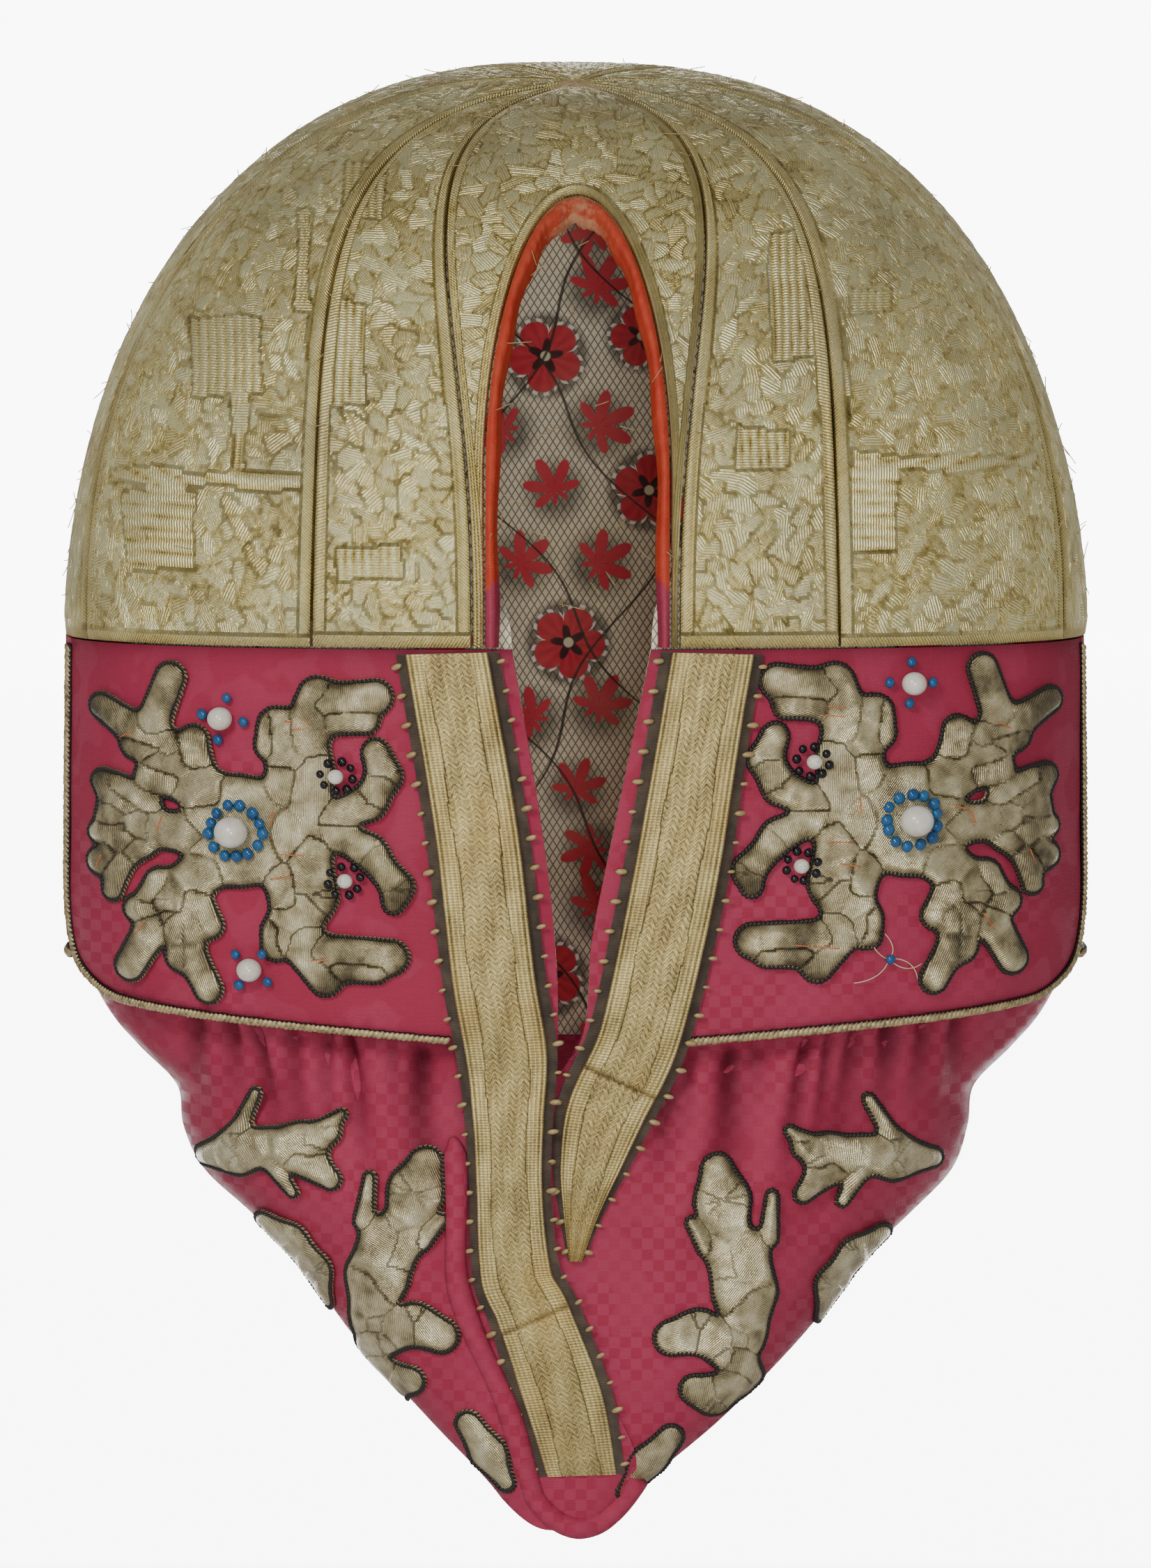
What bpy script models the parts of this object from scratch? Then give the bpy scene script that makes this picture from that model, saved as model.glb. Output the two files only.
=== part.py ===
"""A gold-embroidered kokoshnik: a stiff domed crown of eight gores, two silk back panels and a
front band below it, and soft gathered flaps that close to a point at the nape. A long slit runs
down the back. The frame: +Z up, the back with its slit towards -Y, the forehead towards +Y, and
the origin where the top of the head touches, under the point where the crown's seams meet."""

import math

import bmesh
import bpy
from mathutils import Vector
from mathutils.geometry import tessellate_polygon

MM = 0.001

# The whole cap
HALF_WIDTH = 100 * MM  # outer, ear to ear at the band
HALF_DEPTH = 70 * MM  # outer, from the ear line to the back or to the forehead
PLAN_POWER = 2.6  # 2 is an ellipse, more is squarer
CROWN_TOP = 5.2 * MM  # outer face over the origin
CROWN_BASE = -102.3 * MM
CROWN_SPREAD_POWER = 2.5
CROWN_RISE_POWER = 2.0
CROWN_LEAN = 0.3  # the crown is taller towards the forehead
TIP_LEVEL = -274.8 * MM  # the lowest point of the gathered flaps
FRONT_RIM_LEVEL = -206.8 * MM
BAND_SIDE_LEVEL = -165.8 * MM  # lower edge of the front band and of the panels' outer corners
BAND_BACK_LEVEL = -181.8 * MM  # lower edge of the panels beside the slit
BAND_CORNER_RISE = 5 * MM  # how far the panels' lower edge curls up at its outer corner
PANEL_END = math.radians(75)  # where the panels end and the front band begins
FLAP_END = math.radians(118)

# Walls and the gaps between them
GORE_WALL = 3.0 * MM
PANEL_WALL = 1.8 * MM
FLAP_WALL = 1.4 * MM
LINING_WALL = 0.9 * MM
RIBBON_WALL = 0.7 * MM
GALLOON_WALL = 1.2 * MM
APPLIQUE_WALL = 1.6 * MM
LAYER_GAP = 0.35 * MM
LINING_GAP = 1.2 * MM
FLAP_MOTIF_GAP = 1.3 * MM
PALMETTE_GAP = 0.8 * MM
CORD_GAP = 0.6 * MM
RIBBON_GAP = 0.8 * MM
FLAP_GAP = 1.3 * MM  # the gathered silk hangs this clear of the stiff panels
SEAM_GAP = 0.4 * MM
GORE_ROWS = 10
FLAP_ROWS = 7
APEX_FALL = 0.008  # the gores stop this share of the way from the seams' meeting point

# Slit, trims and beads
SLIT_TOP = -15.6 * MM
SLIT_HALF_WIDTH = 18.3 * MM
SLIT_ROUNDING = 54 * MM  # how far down the slit's head takes to reach its full width
SLIT_CENTRE = 0.4 * MM
BINDING_WIDTH = 2.7 * MM
BINDING_PROUD = 0.3 * MM
LINING_BACKSET = 2.6 * MM  # how far the lining keeps back from the edge of the crown's slit
GALLOON_WIDTH = 15.6 * MM
RIBBON_WIDTH = 19.6 * MM
CORD_DIAMETER = 1.9 * MM
TUCK = 5 * MM  # how far a flap reaches up under the panel
STEP_OUT = 13 * MM  # the height below the panel in which a flap comes out from under it
LARGE_PEARL = 6.6 * MM
SMALL_PEARL = 4.9 * MM
TINY_PEARL = 3.1 * MM
FOLD_DEPTH = 4.0 * MM  # of the gathers under the panels' cord
ROLL_DIAMETER = 4.2 * MM
APPLIQUE_CELL = 2.0 * MM  # of the net that finds a motif's outline
OUTLINE_SLACK = 0.6 * MM  # how far the outline may be straightened
APPLIQUE_FACET = 9.0 * MM  # the widest facet of a motif, so that it follows the round of the cap
THIN_STROKE = 1.7 * MM  # a motif's stems thinner than this are bare cord, which has no padding
WRAP = 0.93  # motifs further out than this share of the half width wrap round the cap's side
WRAP_RATE = 2.6
UNDERLAP_LIFT = 2.6 * MM  # the left flap lies this much proud over the right one

FLAP_INSET = PANEL_WALL + FLAP_GAP
INSIDE = (0, 0, CROWN_BASE)  # a point inside the cap, from which every surface faces away

SILK = ("silk", (0.50, 0.035, 0.085), 0.55, 0.0)
GOLD = ("gold_embroidery", (0.52, 0.40, 0.17), 0.38, 0.8)
LAME = ("gold_lame", (0.50, 0.41, 0.22), 0.3, 0.85)
PRINT = ("printed_cotton", (0.52, 0.45, 0.30), 0.85, 0.0)
RED = ("red_binding", (0.62, 0.06, 0.03), 0.6, 0.0)
DARK = ("dark_ribbon", (0.05, 0.035, 0.02), 0.8, 0.0)
PEARL = ("pearl", (0.86, 0.83, 0.74), 0.22, 0.0)
CORD = ("metal_cord", (0.30, 0.23, 0.12), 0.45, 0.6)

# The lower body, from the crown's base (0) to the tip (1): drop is a share of that height,
# width a share of HALF_WIDTH; back, side and front place the section in shares of HALF_DEPTH;
# shift moves it sideways, in shares of HALF_WIDTH.
SECTIONS = (
    # drop, width, back, side, front, shift
    (0.000, 1.000, 1.00, 0.00, 1.00, 0.00),
    (0.200, 1.003, 1.00, 0.00, 1.00, 0.00),
    (0.330, 1.000, 0.99, 0.00, 0.98, 0.00),
    (0.400, 0.965, 0.98, 0.00, 0.97, 0.00),
    (0.460, 0.865, 0.96, 0.00, 0.96, 0.00),
    (0.512, 0.785, 0.94, -0.01, 0.95, 0.00),
    (0.560, 0.770, 0.93, -0.03, 0.94, 0.00),
    (0.606, 0.735, 0.92, -0.06, 0.92, 0.005),
    (0.655, 0.650, 0.91, -0.14, 0.46, 0.010),
    (0.700, 0.565, 0.90, -0.24, 0.20, 0.010),
    (0.790, 0.440, 0.87, -0.38, -0.06, 0.005),
    (0.880, 0.285, 0.83, -0.52, -0.34, 0.000),
    (0.950, 0.150, 0.79, -0.64, -0.46, -0.015),
    (1.000, 0.075, 0.76, -0.66, -0.54, -0.030),
)
# The edges of the slit below the crown: drop as above, x in shares of HALF_WIDTH.
SLIT_EDGES = (
    # drop, left, right
    (0.00, -0.148, 0.152),
    (0.20, -0.092, 0.080),
    (0.33, -0.056, 0.034),
    (0.44, -0.042, 0.012),
    (0.52, -0.046, -0.070),
    (0.61, -0.052, -0.082),
    (0.71, -0.036, -0.070),
    (0.77, 0.014, -0.020),
    (0.85, 0.060, 0.046),
    (0.93, 0.092, 0.104),
    (1.00, 0.004, 0.016),
)
# The middle lines of the two galloons: drop as above, x and width in shares.
LEFT_GALLOON = (
    # drop, x, width
    (0.006, -0.247, 1.00),
    (0.205, -0.190, 1.02),
    (0.370, -0.157, 1.02),
    (0.454, -0.133, 1.00),
    (0.530, -0.128, 0.86),
    (0.604, -0.126, 0.80),
    (0.706, -0.112, 0.86),
    (0.745, -0.082, 0.90),
    (0.848, -0.022, 0.96),
    (0.935, 0.012, 0.84),
)
RIGHT_GALLOON = (
    (0.006, 0.263, 1.00),
    (0.104, 0.235, 1.00),
    (0.227, 0.201, 1.04),
    (0.312, 0.173, 1.04),
    (0.436, 0.122, 1.00),
    (0.520, 0.060, 0.98),
    (0.585, 0.028, 0.74),
    (0.640, 0.010, 0.42),
    (0.690, 0.000, 0.16),
)
# Seams of the crown, right half: the turn where they meet, the turn at the base, and how fast
# one goes over into the other. Turn 0 is the middle of the back and 180 the forehead.
SEAMS = (
    # name, meeting turn, base turn, power
    ("back", 45.0, 11.4, 2.3),
    ("side", 64.0, 28.8, 2.3),
    ("ear", 108.0, 64.7, 1.5),
    ("front", 145.0, 125.0, 1.5),
)
# Gathers of the flaps, as grooves that fade downwards: where they start, as a share of the
# flap's half width there, how wide, how deep, and how far down they reach.
FOLDS = (
    # side, place, spread, depth, reach
    (-1, 0.545, 0.085, 1.00, 0.55),
    (-1, 0.330, 0.060, 0.70, 0.60),
    (-1, 0.790, 0.060, 0.55, 0.45),
    (1, 0.420, 0.070, 0.70, 0.75),
    (1, 0.690, 0.080, 1.00, 0.60),
    (1, 0.230, 0.045, 0.45, 0.45),
)
# The silk rolled along the left ribbon and round the flaps' point: drop, x in shares, and how
# far it stands out, in shares of the roll's own diameter.
ROLLED_EDGE = (
    # drop, x, out
    (0.560, -0.232, 0.50),
    (0.700, -0.224, 0.60),
    (0.760, -0.196, 0.60),
    (0.850, -0.136, 0.60),
    (0.930, -0.094, 0.60),
    (0.985, -0.064, 0.40),
)
# Gold lame motifs as chains of round-ended tapering strokes in millimetres, about the motif's
# own middle; x is towards the slit. The back panel's palmette stands about its large pearl.
PALMETTE = (
    # x0, z0, r0, x1, z1, r1
    (0.0, 0.0, 10.6, 0.0, 0.0, 10.6),
    (-6.5, -1.3, 4.0, -17.0, -0.6, 3.2),
    (-18.0, -0.6, 3.4, -23.5, 1.0, 4.4),
    (-22.0, 2.4, 3.6, -26.9, 7.6, 2.2),
    (-22.0, -2.6, 3.4, -24.4, -13.4, 1.8),
    (-22.0, 0.0, 3.6, -27.6, -2.4, 1.8),
    (-4.6, 5.4, 4.6, -14.5, 13.0, 4.4),
    (-14.0, 14.0, 3.6, -27.6, 22.2, 2.4),
    (-17.8, 19.0, 3.0, -14.4, 29.0, 2.7),
    (-9.6, 13.0, 3.6, -9.4, 17.2, 2.6),
    (-12.0, 9.6, 3.6, -17.6, 9.4, 2.8),
    (-5.0, -6.6, 4.4, -13.0, -13.6, 3.6),
    (-13.0, -14.0, 3.3, -20.4, -27.6, 2.8),
    (-12.0, -18.6, 2.8, -5.0, -31.0, 2.5),
    (-9.0, -12.6, 3.0, -5.0, -18.6, 2.3),
    (-15.0, -11.4, 3.0, -16.6, -13.6, 2.4),
    (8.0, 0.0, 6.0, 13.6, 0.6, 4.0),
    (13.6, 0.6, 3.4, 12.0, 12.0, 5.4),
    (10.6, 13.4, 5.0, 7.0, 20.6, 3.4),
    (11.6, 17.0, 4.6, 14.0, 27.0, 3.3),
    (14.6, 25.4, 3.6, 25.2, 27.2, 3.1),
    (13.6, 0.6, 3.4, 13.4, -11.6, 5.2),
    (13.4, -11.6, 5.2, 9.6, -19.6, 3.8),
    (12.4, -20.0, 4.0, 17.4, -28.0, 2.9),
    (15.4, -23.0, 3.6, 30.0, -23.0, 3.1),
    (16.4, 3.0, 2.8, 24.6, 6.8, 2.8),
    (24.6, 6.8, 2.8, 27.4, 12.0, 2.7),
    (27.4, 12.0, 2.7, 25.6, 16.4, 2.5),
    (16.4, 1.4, 2.8, 25.0, -2.8, 2.7),
    (25.0, -2.8, 2.7, 30.6, -9.4, 2.5),
    (30.6, -9.4, 2.5, 30.0, -12.6, 1.8),
)
TULIP = (
    (-13.0, -1.6, 1.8, -5.6, 0.0, 4.0),
    (-5.6, 0.0, 4.0, 0.0, 1.6, 2.6),
    (0.0, 1.6, 2.6, 6.6, 1.6, 4.4),
    (6.6, 2.0, 3.4, 11.6, 4.4, 2.0),
    (6.6, 0.0, 3.6, 12.4, -4.6, 1.8),
    (-5.6, 4.0, 1.3, -2.8, 11.4, 0.9),
    (11.4, 5.6, 1.2, 14.0, 8.0, 0.8),
    (0.6, -2.0, 1.4, 5.0, -7.4, 0.9),
)
SPRAY = (
    (9.4, 15.6, 3.0, 7.4, 10.0, 4.8),
    (7.4, 10.0, 4.8, 4.6, 3.6, 3.0),
    (1.8, 0.0, 5.0, 0.4, -6.6, 5.6),
    (5.6, 0.8, 3.4, 0.0, -8.6, 4.0),
    (-0.6, -7.4, 5.0, -2.2, -16.6, 2.6),
    (-2.6, 4.2, 1.6, -1.8, 12.4, 0.9),
    (8.8, 0.6, 1.6, 12.6, 4.6, 0.9),
    (-4.0, -23.6, 2.2, 0.4, -18.4, 3.2),
    (-2.2, -15.0, 2.6, 1.6, -18.8, 3.2),
    (0.4, -18.6, 3.2, 7.6, -16.2, 3.6),
    (7.6, -16.2, 3.6, 12.4, -18.2, 3.2),
    (-2.0, -25.2, 2.8, 2.4, -28.2, 3.4),
    (2.4, -28.2, 3.4, 6.4, -27.6, 2.6),
)
TONGUE = (
    (-3.8, 6.0, 2.4, 0.0, 0.0, 3.1),
    (0.0, 0.0, 3.1, 3.4, -6.0, 1.6),
)
SIDE_LEAF = (
    (-6.4, 6.4, 1.8, -1.2, 2.6, 2.9),
    (-1.2, 2.6, 2.9, 3.0, -3.4, 3.2),
    (3.0, -3.4, 3.2, 4.6, -9.6, 1.8),
)
# Where each motif lies on the flaps: x and z in millimetres from the middle of the back and
# the origin, and its turn in degrees.
FLAP_MOTIFS = (
    # name, strokes, side, x, z, turn
    ("tulip_left", TULIP, -1, -59.6, -201.4, 0.0),
    ("tulip_right", TULIP, 1, 56.0, -202.8, -6.0),
    ("spray_left", SPRAY, -1, -38.0, -217.8, 0.0),
    ("spray_right", SPRAY, 1, 34.0, -220.8, 10.0),
    ("tongue_left", TONGUE, -1, -16.6, -259.4, 0.0),
    ("tongue_right", TONGUE, 1, 13.8, -261.8, 8.0),
    ("side_leaf_left", SIDE_LEAF, -1, -53.8, -221.2, 2.0),
    ("side_leaf_right", SIDE_LEAF, 1, 53.0, -223.8, 0.0),
)
PALMETTE_PLACES = ((-1, -64.6 * MM, -138.2 * MM, -2.0), (1, 64.0 * MM, -136.0 * MM, 0.0))
# Pearls of the panels, from the large one, in millimetres; x is towards the slit.
PEARL_PLACES = (
    # name, diameter, x, z, which sides have it
    ("large_pearl", LARGE_PEARL, 0.0, 0.0, (-1, 1)),
    ("upper_pearl", SMALL_PEARL, -4.0, 21.6, (-1,)),
    ("upper_pearl", SMALL_PEARL, -0.6, 26.4, (1,)),
    ("lower_pearl", SMALL_PEARL, 3.2, -26.6, (-1,)),
    ("upper_eye_pearl", TINY_PEARL, 18.6, 11.6, (-1, 1)),
    ("lower_eye_pearl", TINY_PEARL, 20.6, -8.6, (-1, 1)),
)

for leftover in list(bpy.data.objects):
    bpy.data.objects.remove(leftover)
collection = bpy.data.collections.new("kokoshnik")
bpy.context.scene.collection.children.link(collection)


def material(finish):
    """The Principled material of a finish, made once."""
    name, colour, roughness, metallic = finish
    found = bpy.data.materials.get(name)
    if found is None:
        found = bpy.data.materials.new(name)
        found.use_nodes = True
        shader = found.node_tree.nodes["Principled BSDF"]
        shader.inputs["Base Color"].default_value = (*colour, 1)
        shader.inputs["Roughness"].default_value = roughness
        shader.inputs["Metallic"].default_value = metallic
    return found


def from_table(rows, column, at):
    """A smooth curve through one column of a table whose first column is the place."""
    at = min(max(at, rows[0][0]), rows[-1][0])
    low = max(i for i in range(len(rows) - 1) if rows[i][0] <= at)

    def slope(i):
        before, after = max(i - 1, 0), min(i + 1, len(rows) - 1)
        return (rows[after][column] - rows[before][column]) / (rows[after][0] - rows[before][0])

    span = rows[low + 1][0] - rows[low][0]
    t = (at - rows[low][0]) / span
    start, end = rows[low][column], rows[low + 1][column]
    lift, settle = slope(low) * span, slope(low + 1) * span
    return (
        start * (2 * t**3 - 3 * t**2 + 1)
        + lift * (t**3 - 2 * t**2 + t)
        + end * (3 * t**2 - 2 * t**3)
        + settle * (t**3 - t**2)
    )


def between(low, high, share):
    return low + (high - low) * share


def eased(share):
    share = min(max(share, 0), 1)
    return share * share * (3 - 2 * share)


def plan(turn):
    """A point of the cap's rounded plan outline, in shares: sideways, and towards the back."""
    side, back = math.sin(turn), math.cos(turn)
    reach = (abs(side) ** PLAN_POWER + abs(back) ** PLAN_POWER) ** (-1 / PLAN_POWER)
    return side * reach, back * reach


def turn_of(side):
    """The turn on the back half at which the plan outline is this far sideways."""
    inside = min(abs(side), WRAP)
    turn = math.atan2(inside, (1 - inside**PLAN_POWER) ** (1 / PLAN_POWER))
    return math.copysign(turn + WRAP_RATE * (abs(side) - inside), side)


def outward(face, a, b):
    """The unit normal of a surface given by two coordinates, away from the cap's middle."""
    step = 1e-4
    here = Vector(face(a, b))
    normal = (Vector(face(a + step, b)) - here).cross(Vector(face(a, b + step * MM)) - here)
    normal.normalize()
    return -normal if normal.dot(here - Vector(INSIDE)) < 0 else normal


def crown_skin(turn, fall):
    """The crown's plain surface. fall runs from 0, where the seams meet, to 1 at the base."""
    spread = math.sin(fall * math.pi / 2) ** (2 / CROWN_SPREAD_POWER)
    rise = max(math.cos(fall * math.pi / 2), 0) ** (2 / CROWN_RISE_POWER)
    side, back = plan(turn)
    y = -HALF_DEPTH * spread * back
    z = CROWN_BASE + (CROWN_TOP - CROWN_BASE) * rise + CROWN_LEAN * y * rise
    return HALF_WIDTH * spread * side, y, z


def crown_point(turn, fall, inset=0.0):
    """A point this far in from the crown's surface."""
    point = Vector(crown_skin(turn, fall))
    if inset:
        point -= inset * outward(crown_skin, turn, min(fall, 0.985))
        point.z = max(point.z, CROWN_BASE)
    return point


def crown_place(x, z):
    """The turn and fall on the back of the crown at a sideways place and a level."""
    low, high = 0.001, 1.0
    for _ in range(40):
        fall = (low + high) / 2
        spread = math.sin(fall * math.pi / 2) ** (2 / CROWN_SPREAD_POWER)
        turn = turn_of(x / (HALF_WIDTH * spread))
        if crown_skin(turn, fall)[2] > z:
            low = fall
        else:
            high = fall
    return turn, fall


def drop_of(z):
    return (CROWN_BASE - z) / (CROWN_BASE - TIP_LEVEL)


def level_of(drop):
    return between(CROWN_BASE, TIP_LEVEL, drop)


def body_skin(turn, z):
    """The lower body's plain surface at a turn and a level, without folds."""
    drop = drop_of(z)
    width, back, middle, front, shift = (from_table(SECTIONS, i, drop) for i in range(1, 6))
    side, to_back = plan(turn)
    reach = back + middle if to_back > 0 else front - middle
    return (
        HALF_WIDTH * (width * side + shift),
        HALF_DEPTH * (middle - reach * to_back),
        z,
    )


def body_point(turn, z, inset=0.0):
    """A point this far in from the lower body's surface."""
    point = Vector(body_skin(turn, z))
    if inset:
        point -= inset * outward(body_skin, turn, z)
    return point


def body_turn(x, z):
    """The turn on the back half of the lower body at a sideways place and a level."""
    drop = drop_of(z)
    width, shift = from_table(SECTIONS, 1, drop), from_table(SECTIONS, 5, drop)
    return turn_of((x / HALF_WIDTH - shift) / width)


def on_body(x, z, out):
    """The point of the back this far out from the plain body at a sideways place and a level."""
    return body_point(body_turn(x, z), z, -out)


def slit_edge(side, z):
    return HALF_WIDTH * from_table(SLIT_EDGES, 1 if side < 0 else 2, drop_of(z))


def band_bottom(turn):
    """The level of the panels' lower edge."""
    share = min(abs(turn) / PANEL_END, 1)
    corner = BAND_CORNER_RISE * (eased(share * 5 - 4) - 1)
    return between(BAND_BACK_LEVEL, BAND_SIDE_LEVEL, share) + corner * share


def hem_level(turn):
    """The level of the lower hem: the flaps' point at the nape, and the rim over the forehead."""
    forward = eased((abs(turn) - math.radians(90)) / (FLAP_END - math.radians(90)))
    return between(TIP_LEVEL, FRONT_RIM_LEVEL, forward)


def lift_of(side, x, z):
    """How far the flaps stand out from the plain body: gathers, and the lap over the slit."""
    share = drop_of(z)
    width = HALF_WIDTH * from_table(SECTIONS, 1, share)
    place = side * (x - HALF_WIDTH * from_table(SECTIONS, 5, share)) / width
    top = drop_of(band_bottom(body_turn(x, z)))
    down = (share - top) / (1 - top)
    lift = 0.0
    for fold_side, fold_place, spread, depth, reach in FOLDS:
        if fold_side == side:
            off = (place - fold_place) / spread
            lift -= FOLD_DEPTH * depth * math.exp(-off * off) * (1 - eased(down / reach))
    if side < 0:
        lap = eased((share - 0.47) / 0.06) * (1 - 0.6 * eased((share - 0.9) / 0.1))
        near = 1 - eased((slit_edge(-1, z) - x) / (30 * MM) - 0.6)
        lift += UNDERLAP_LIFT * lap * near
    return lift


def patch(name, point, columns, rows, wall, finish):
    """A curved wall of columns by rows cells: its outer and inner skins, joined round the rim.
    point gives the place for a share across, a share down and a depth into the wall."""
    sheet = bmesh.new()
    skins = [
        [
            [sheet.verts.new(point(i / columns, j / rows, depth)) for j in range(rows + 1)]
            for i in range(columns + 1)
        ]
        for depth in (0, wall)
    ]
    outer, inner = skins
    for i in range(columns):
        for j in range(rows):
            for skin in skins:
                corners = (skin[i][j], skin[i][j + 1], skin[i + 1][j + 1], skin[i + 1][j])
                sheet.faces.new(corners if skin is outer else corners[::-1])
    for i in range(columns):
        for j, turned in ((0, False), (rows, True)):
            corners = (outer[i][j], outer[i + 1][j], inner[i + 1][j], inner[i][j])
            sheet.faces.new(corners[::-1] if turned else corners)
    for j in range(rows):
        for i, turned in ((0, True), (columns, False)):
            corners = (outer[i][j], outer[i][j + 1], inner[i][j + 1], inner[i][j])
            sheet.faces.new(corners[::-1] if turned else corners)
    return finished(name, sheet, finish)


def finished(name, sheet, finish):
    """Makes a named object of a closed sheet of faces."""
    mesh = bpy.data.meshes.new(name)
    bmesh.ops.recalc_face_normals(sheet, faces=sheet.faces)
    if sheet.calc_volume(signed=True) < 0:
        bmesh.ops.reverse_faces(sheet, faces=sheet.faces)
    sheet.to_mesh(mesh)
    sheet.free()
    mesh.shade_smooth()
    mesh.set_sharp_from_angle(angle=math.radians(50))
    mesh.materials.append(material(finish))
    piece = bpy.data.objects.new(name, mesh)
    collection.objects.link(piece)
    return piece


def seam_turn(seam, fall):
    _, meeting, base, bend = SEAMS[seam]
    return math.radians(between(base, meeting, (1 - fall) ** bend))


def seam_clearance(fall):
    """Half the seam gap, as a turn at this height of the crown."""
    spread = math.sin(fall * math.pi / 2) ** (2 / CROWN_SPREAD_POWER)
    return SEAM_GAP / 2 / (HALF_DEPTH * spread)


def fall_at(down):
    """The rows of the crown: closer together near the top, where it is flat."""
    return between(APEX_FALL, 1, down**1.3)


def gore(name, side, low_seam, high_seam, columns):
    """One gore of the crown between two seams of a side, low_seam the nearer to the back."""

    def point(across, down, depth):
        fall = fall_at(down)
        low = seam_turn(low_seam, fall) + seam_clearance(fall)
        high = seam_turn(high_seam, fall) - seam_clearance(fall)
        share = across if side > 0 else 1 - across
        return crown_point(side * between(low, high, share), fall, depth)

    return patch(name, point, columns, GORE_ROWS, GORE_WALL, GOLD)


def front_gore():
    """The gore over the forehead, between the two front seams."""

    def point(across, down, depth):
        fall = fall_at(down)
        edge = seam_turn(3, fall) + seam_clearance(fall)
        return crown_point(between(edge, 2 * math.pi - edge, across), fall, depth)

    return patch("gore_front", point, 8, GORE_ROWS, GORE_WALL, GOLD)


def slit_half(z, shrink=0.0):
    """Half the width at a level of the crown's slit, shrunk this much within the gore's edge."""
    share = min(max((SLIT_TOP - shrink - z) / SLIT_ROUNDING, 0), 1)
    return (SLIT_HALF_WIDTH - shrink) * math.sqrt(1 - (1 - share) ** 2)


def slit_outline(along, shrink=0.0):
    """The crown's slit, from its left foot (-1) over its head (0) to its right foot (1)."""
    foot = CROWN_BASE
    head = SLIT_TOP - shrink
    z = between(head, foot, along**2)
    return SLIT_CENTRE + math.copysign(slit_half(z, shrink), along), z


def back_gore():
    """The horseshoe-shaped gore round the slit, lofted from its seams to the slit's edge."""

    def flat(turn, fall):
        return fall * math.sin(turn), fall * math.cos(turn)

    def point(around, inwards, depth):
        along = 2 * around - 1
        fall = max(APEX_FALL, abs(along) ** 1.3)
        outer = flat(math.copysign(seam_turn(0, fall) - seam_clearance(fall), along), fall)
        if abs(along) < 1e-9:
            outer = flat(0, APEX_FALL)
        inner = flat(*crown_place(*slit_outline(along)))
        p, q = (between(o, i, inwards) for o, i in zip(outer, inner))
        return crown_point(math.atan2(p, q), math.hypot(p, q), depth)

    return patch("gore_back", point, 24, 3, GORE_WALL, GOLD)


def slit_binding():
    """The red ribbon folded over the edge of the crown's slit, as one bar round it."""
    depth = GORE_WALL + LINING_GAP + LINING_WALL

    def point(around, across, into):
        along = 0.985 * (2 * around - 1)
        shrink = between(SEAM_GAP, SEAM_GAP + BINDING_WIDTH, across)
        turn, fall = crown_place(*slit_outline(along, shrink))
        return crown_point(turn, fall, into - BINDING_PROUD)

    return patch("slit_binding", point, 26, 1, depth, RED)


def back_panel(side):
    """One silk panel between the slit and the ear, from the crown down to its corded edge."""

    def point(across, down, depth):
        share = across if side > 0 else 1 - across
        z = CROWN_BASE - SEAM_GAP
        for _ in range(3):
            inner = side * body_turn(slit_edge(side, z), z)
            turn = between(inner, PANEL_END, share)
            z = between(CROWN_BASE - SEAM_GAP, band_bottom(turn), down)
        return body_point(side * turn, z, depth)

    return patch("panel_left" if side < 0 else "panel_right", point, 11, 4, PANEL_WALL, SILK)


def front_band():
    """The plain silk band over the forehead, from ear to ear."""

    def point(across, down, depth):
        start = PANEL_END + SEAM_GAP * 1.5 / HALF_DEPTH
        turn = between(start, 2 * math.pi - start, across)
        z = between(CROWN_BASE - SEAM_GAP, BAND_SIDE_LEVEL, down)
        return body_point(turn, z, depth)

    return patch("band_front", point, 20, 2, PANEL_WALL, SILK)


def hanging(down, turn):
    """The level of a row of the hanging silk: one row under the panel, the others below it."""
    top, open_from = band_bottom(turn) + TUCK, band_bottom(turn) - 1 * MM
    share = down * FLAP_ROWS
    if share < 1:
        return between(top, open_from, share)
    return between(open_from, hem_level(turn), ((share - 1) / (FLAP_ROWS - 1)) ** 1.25)


def flap_depth(turn, z):
    """How far in the flaps lie: under the panels at their top, and out in the open below."""
    return FLAP_INSET * (1 - eased((band_bottom(turn) - 1 * MM - z) / STEP_OUT))


def flap(side):
    """One gathered silk flap, from the slit round past the ear, closing to the nape's point."""

    def point(across, down, depth):
        share = across if side > 0 else 1 - across
        z = BAND_BACK_LEVEL
        for _ in range(6):
            inner = side * body_turn(slit_edge(side, z), z)
            turn = between(inner, FLAP_END, share)
            z = hanging(down, turn)
        x = body_skin(side * turn, z)[0]
        fading = 1 - eased((turn - PANEL_END) / math.radians(15))
        lift = lift_of(side, x, z) * fading if fading else 0.0
        return body_point(side * turn, z, flap_depth(turn, z) + depth - lift)

    return patch("flap_left" if side < 0 else "flap_right", point, 19, FLAP_ROWS, FLAP_WALL, SILK)


def front_skirt():
    """The narrow silk skirt under the front band, which ends at the rim over the forehead."""

    def point(across, down, depth):
        start = FLAP_END + SEAM_GAP * 3 / HALF_DEPTH
        turn = between(start, 2 * math.pi - start, across)
        z = hanging(down, min(turn, 2 * math.pi - turn))
        return body_point(turn, z, flap_depth(turn, z) + depth)

    return patch("skirt_front", point, 9, FLAP_ROWS, FLAP_WALL, SILK)


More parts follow.
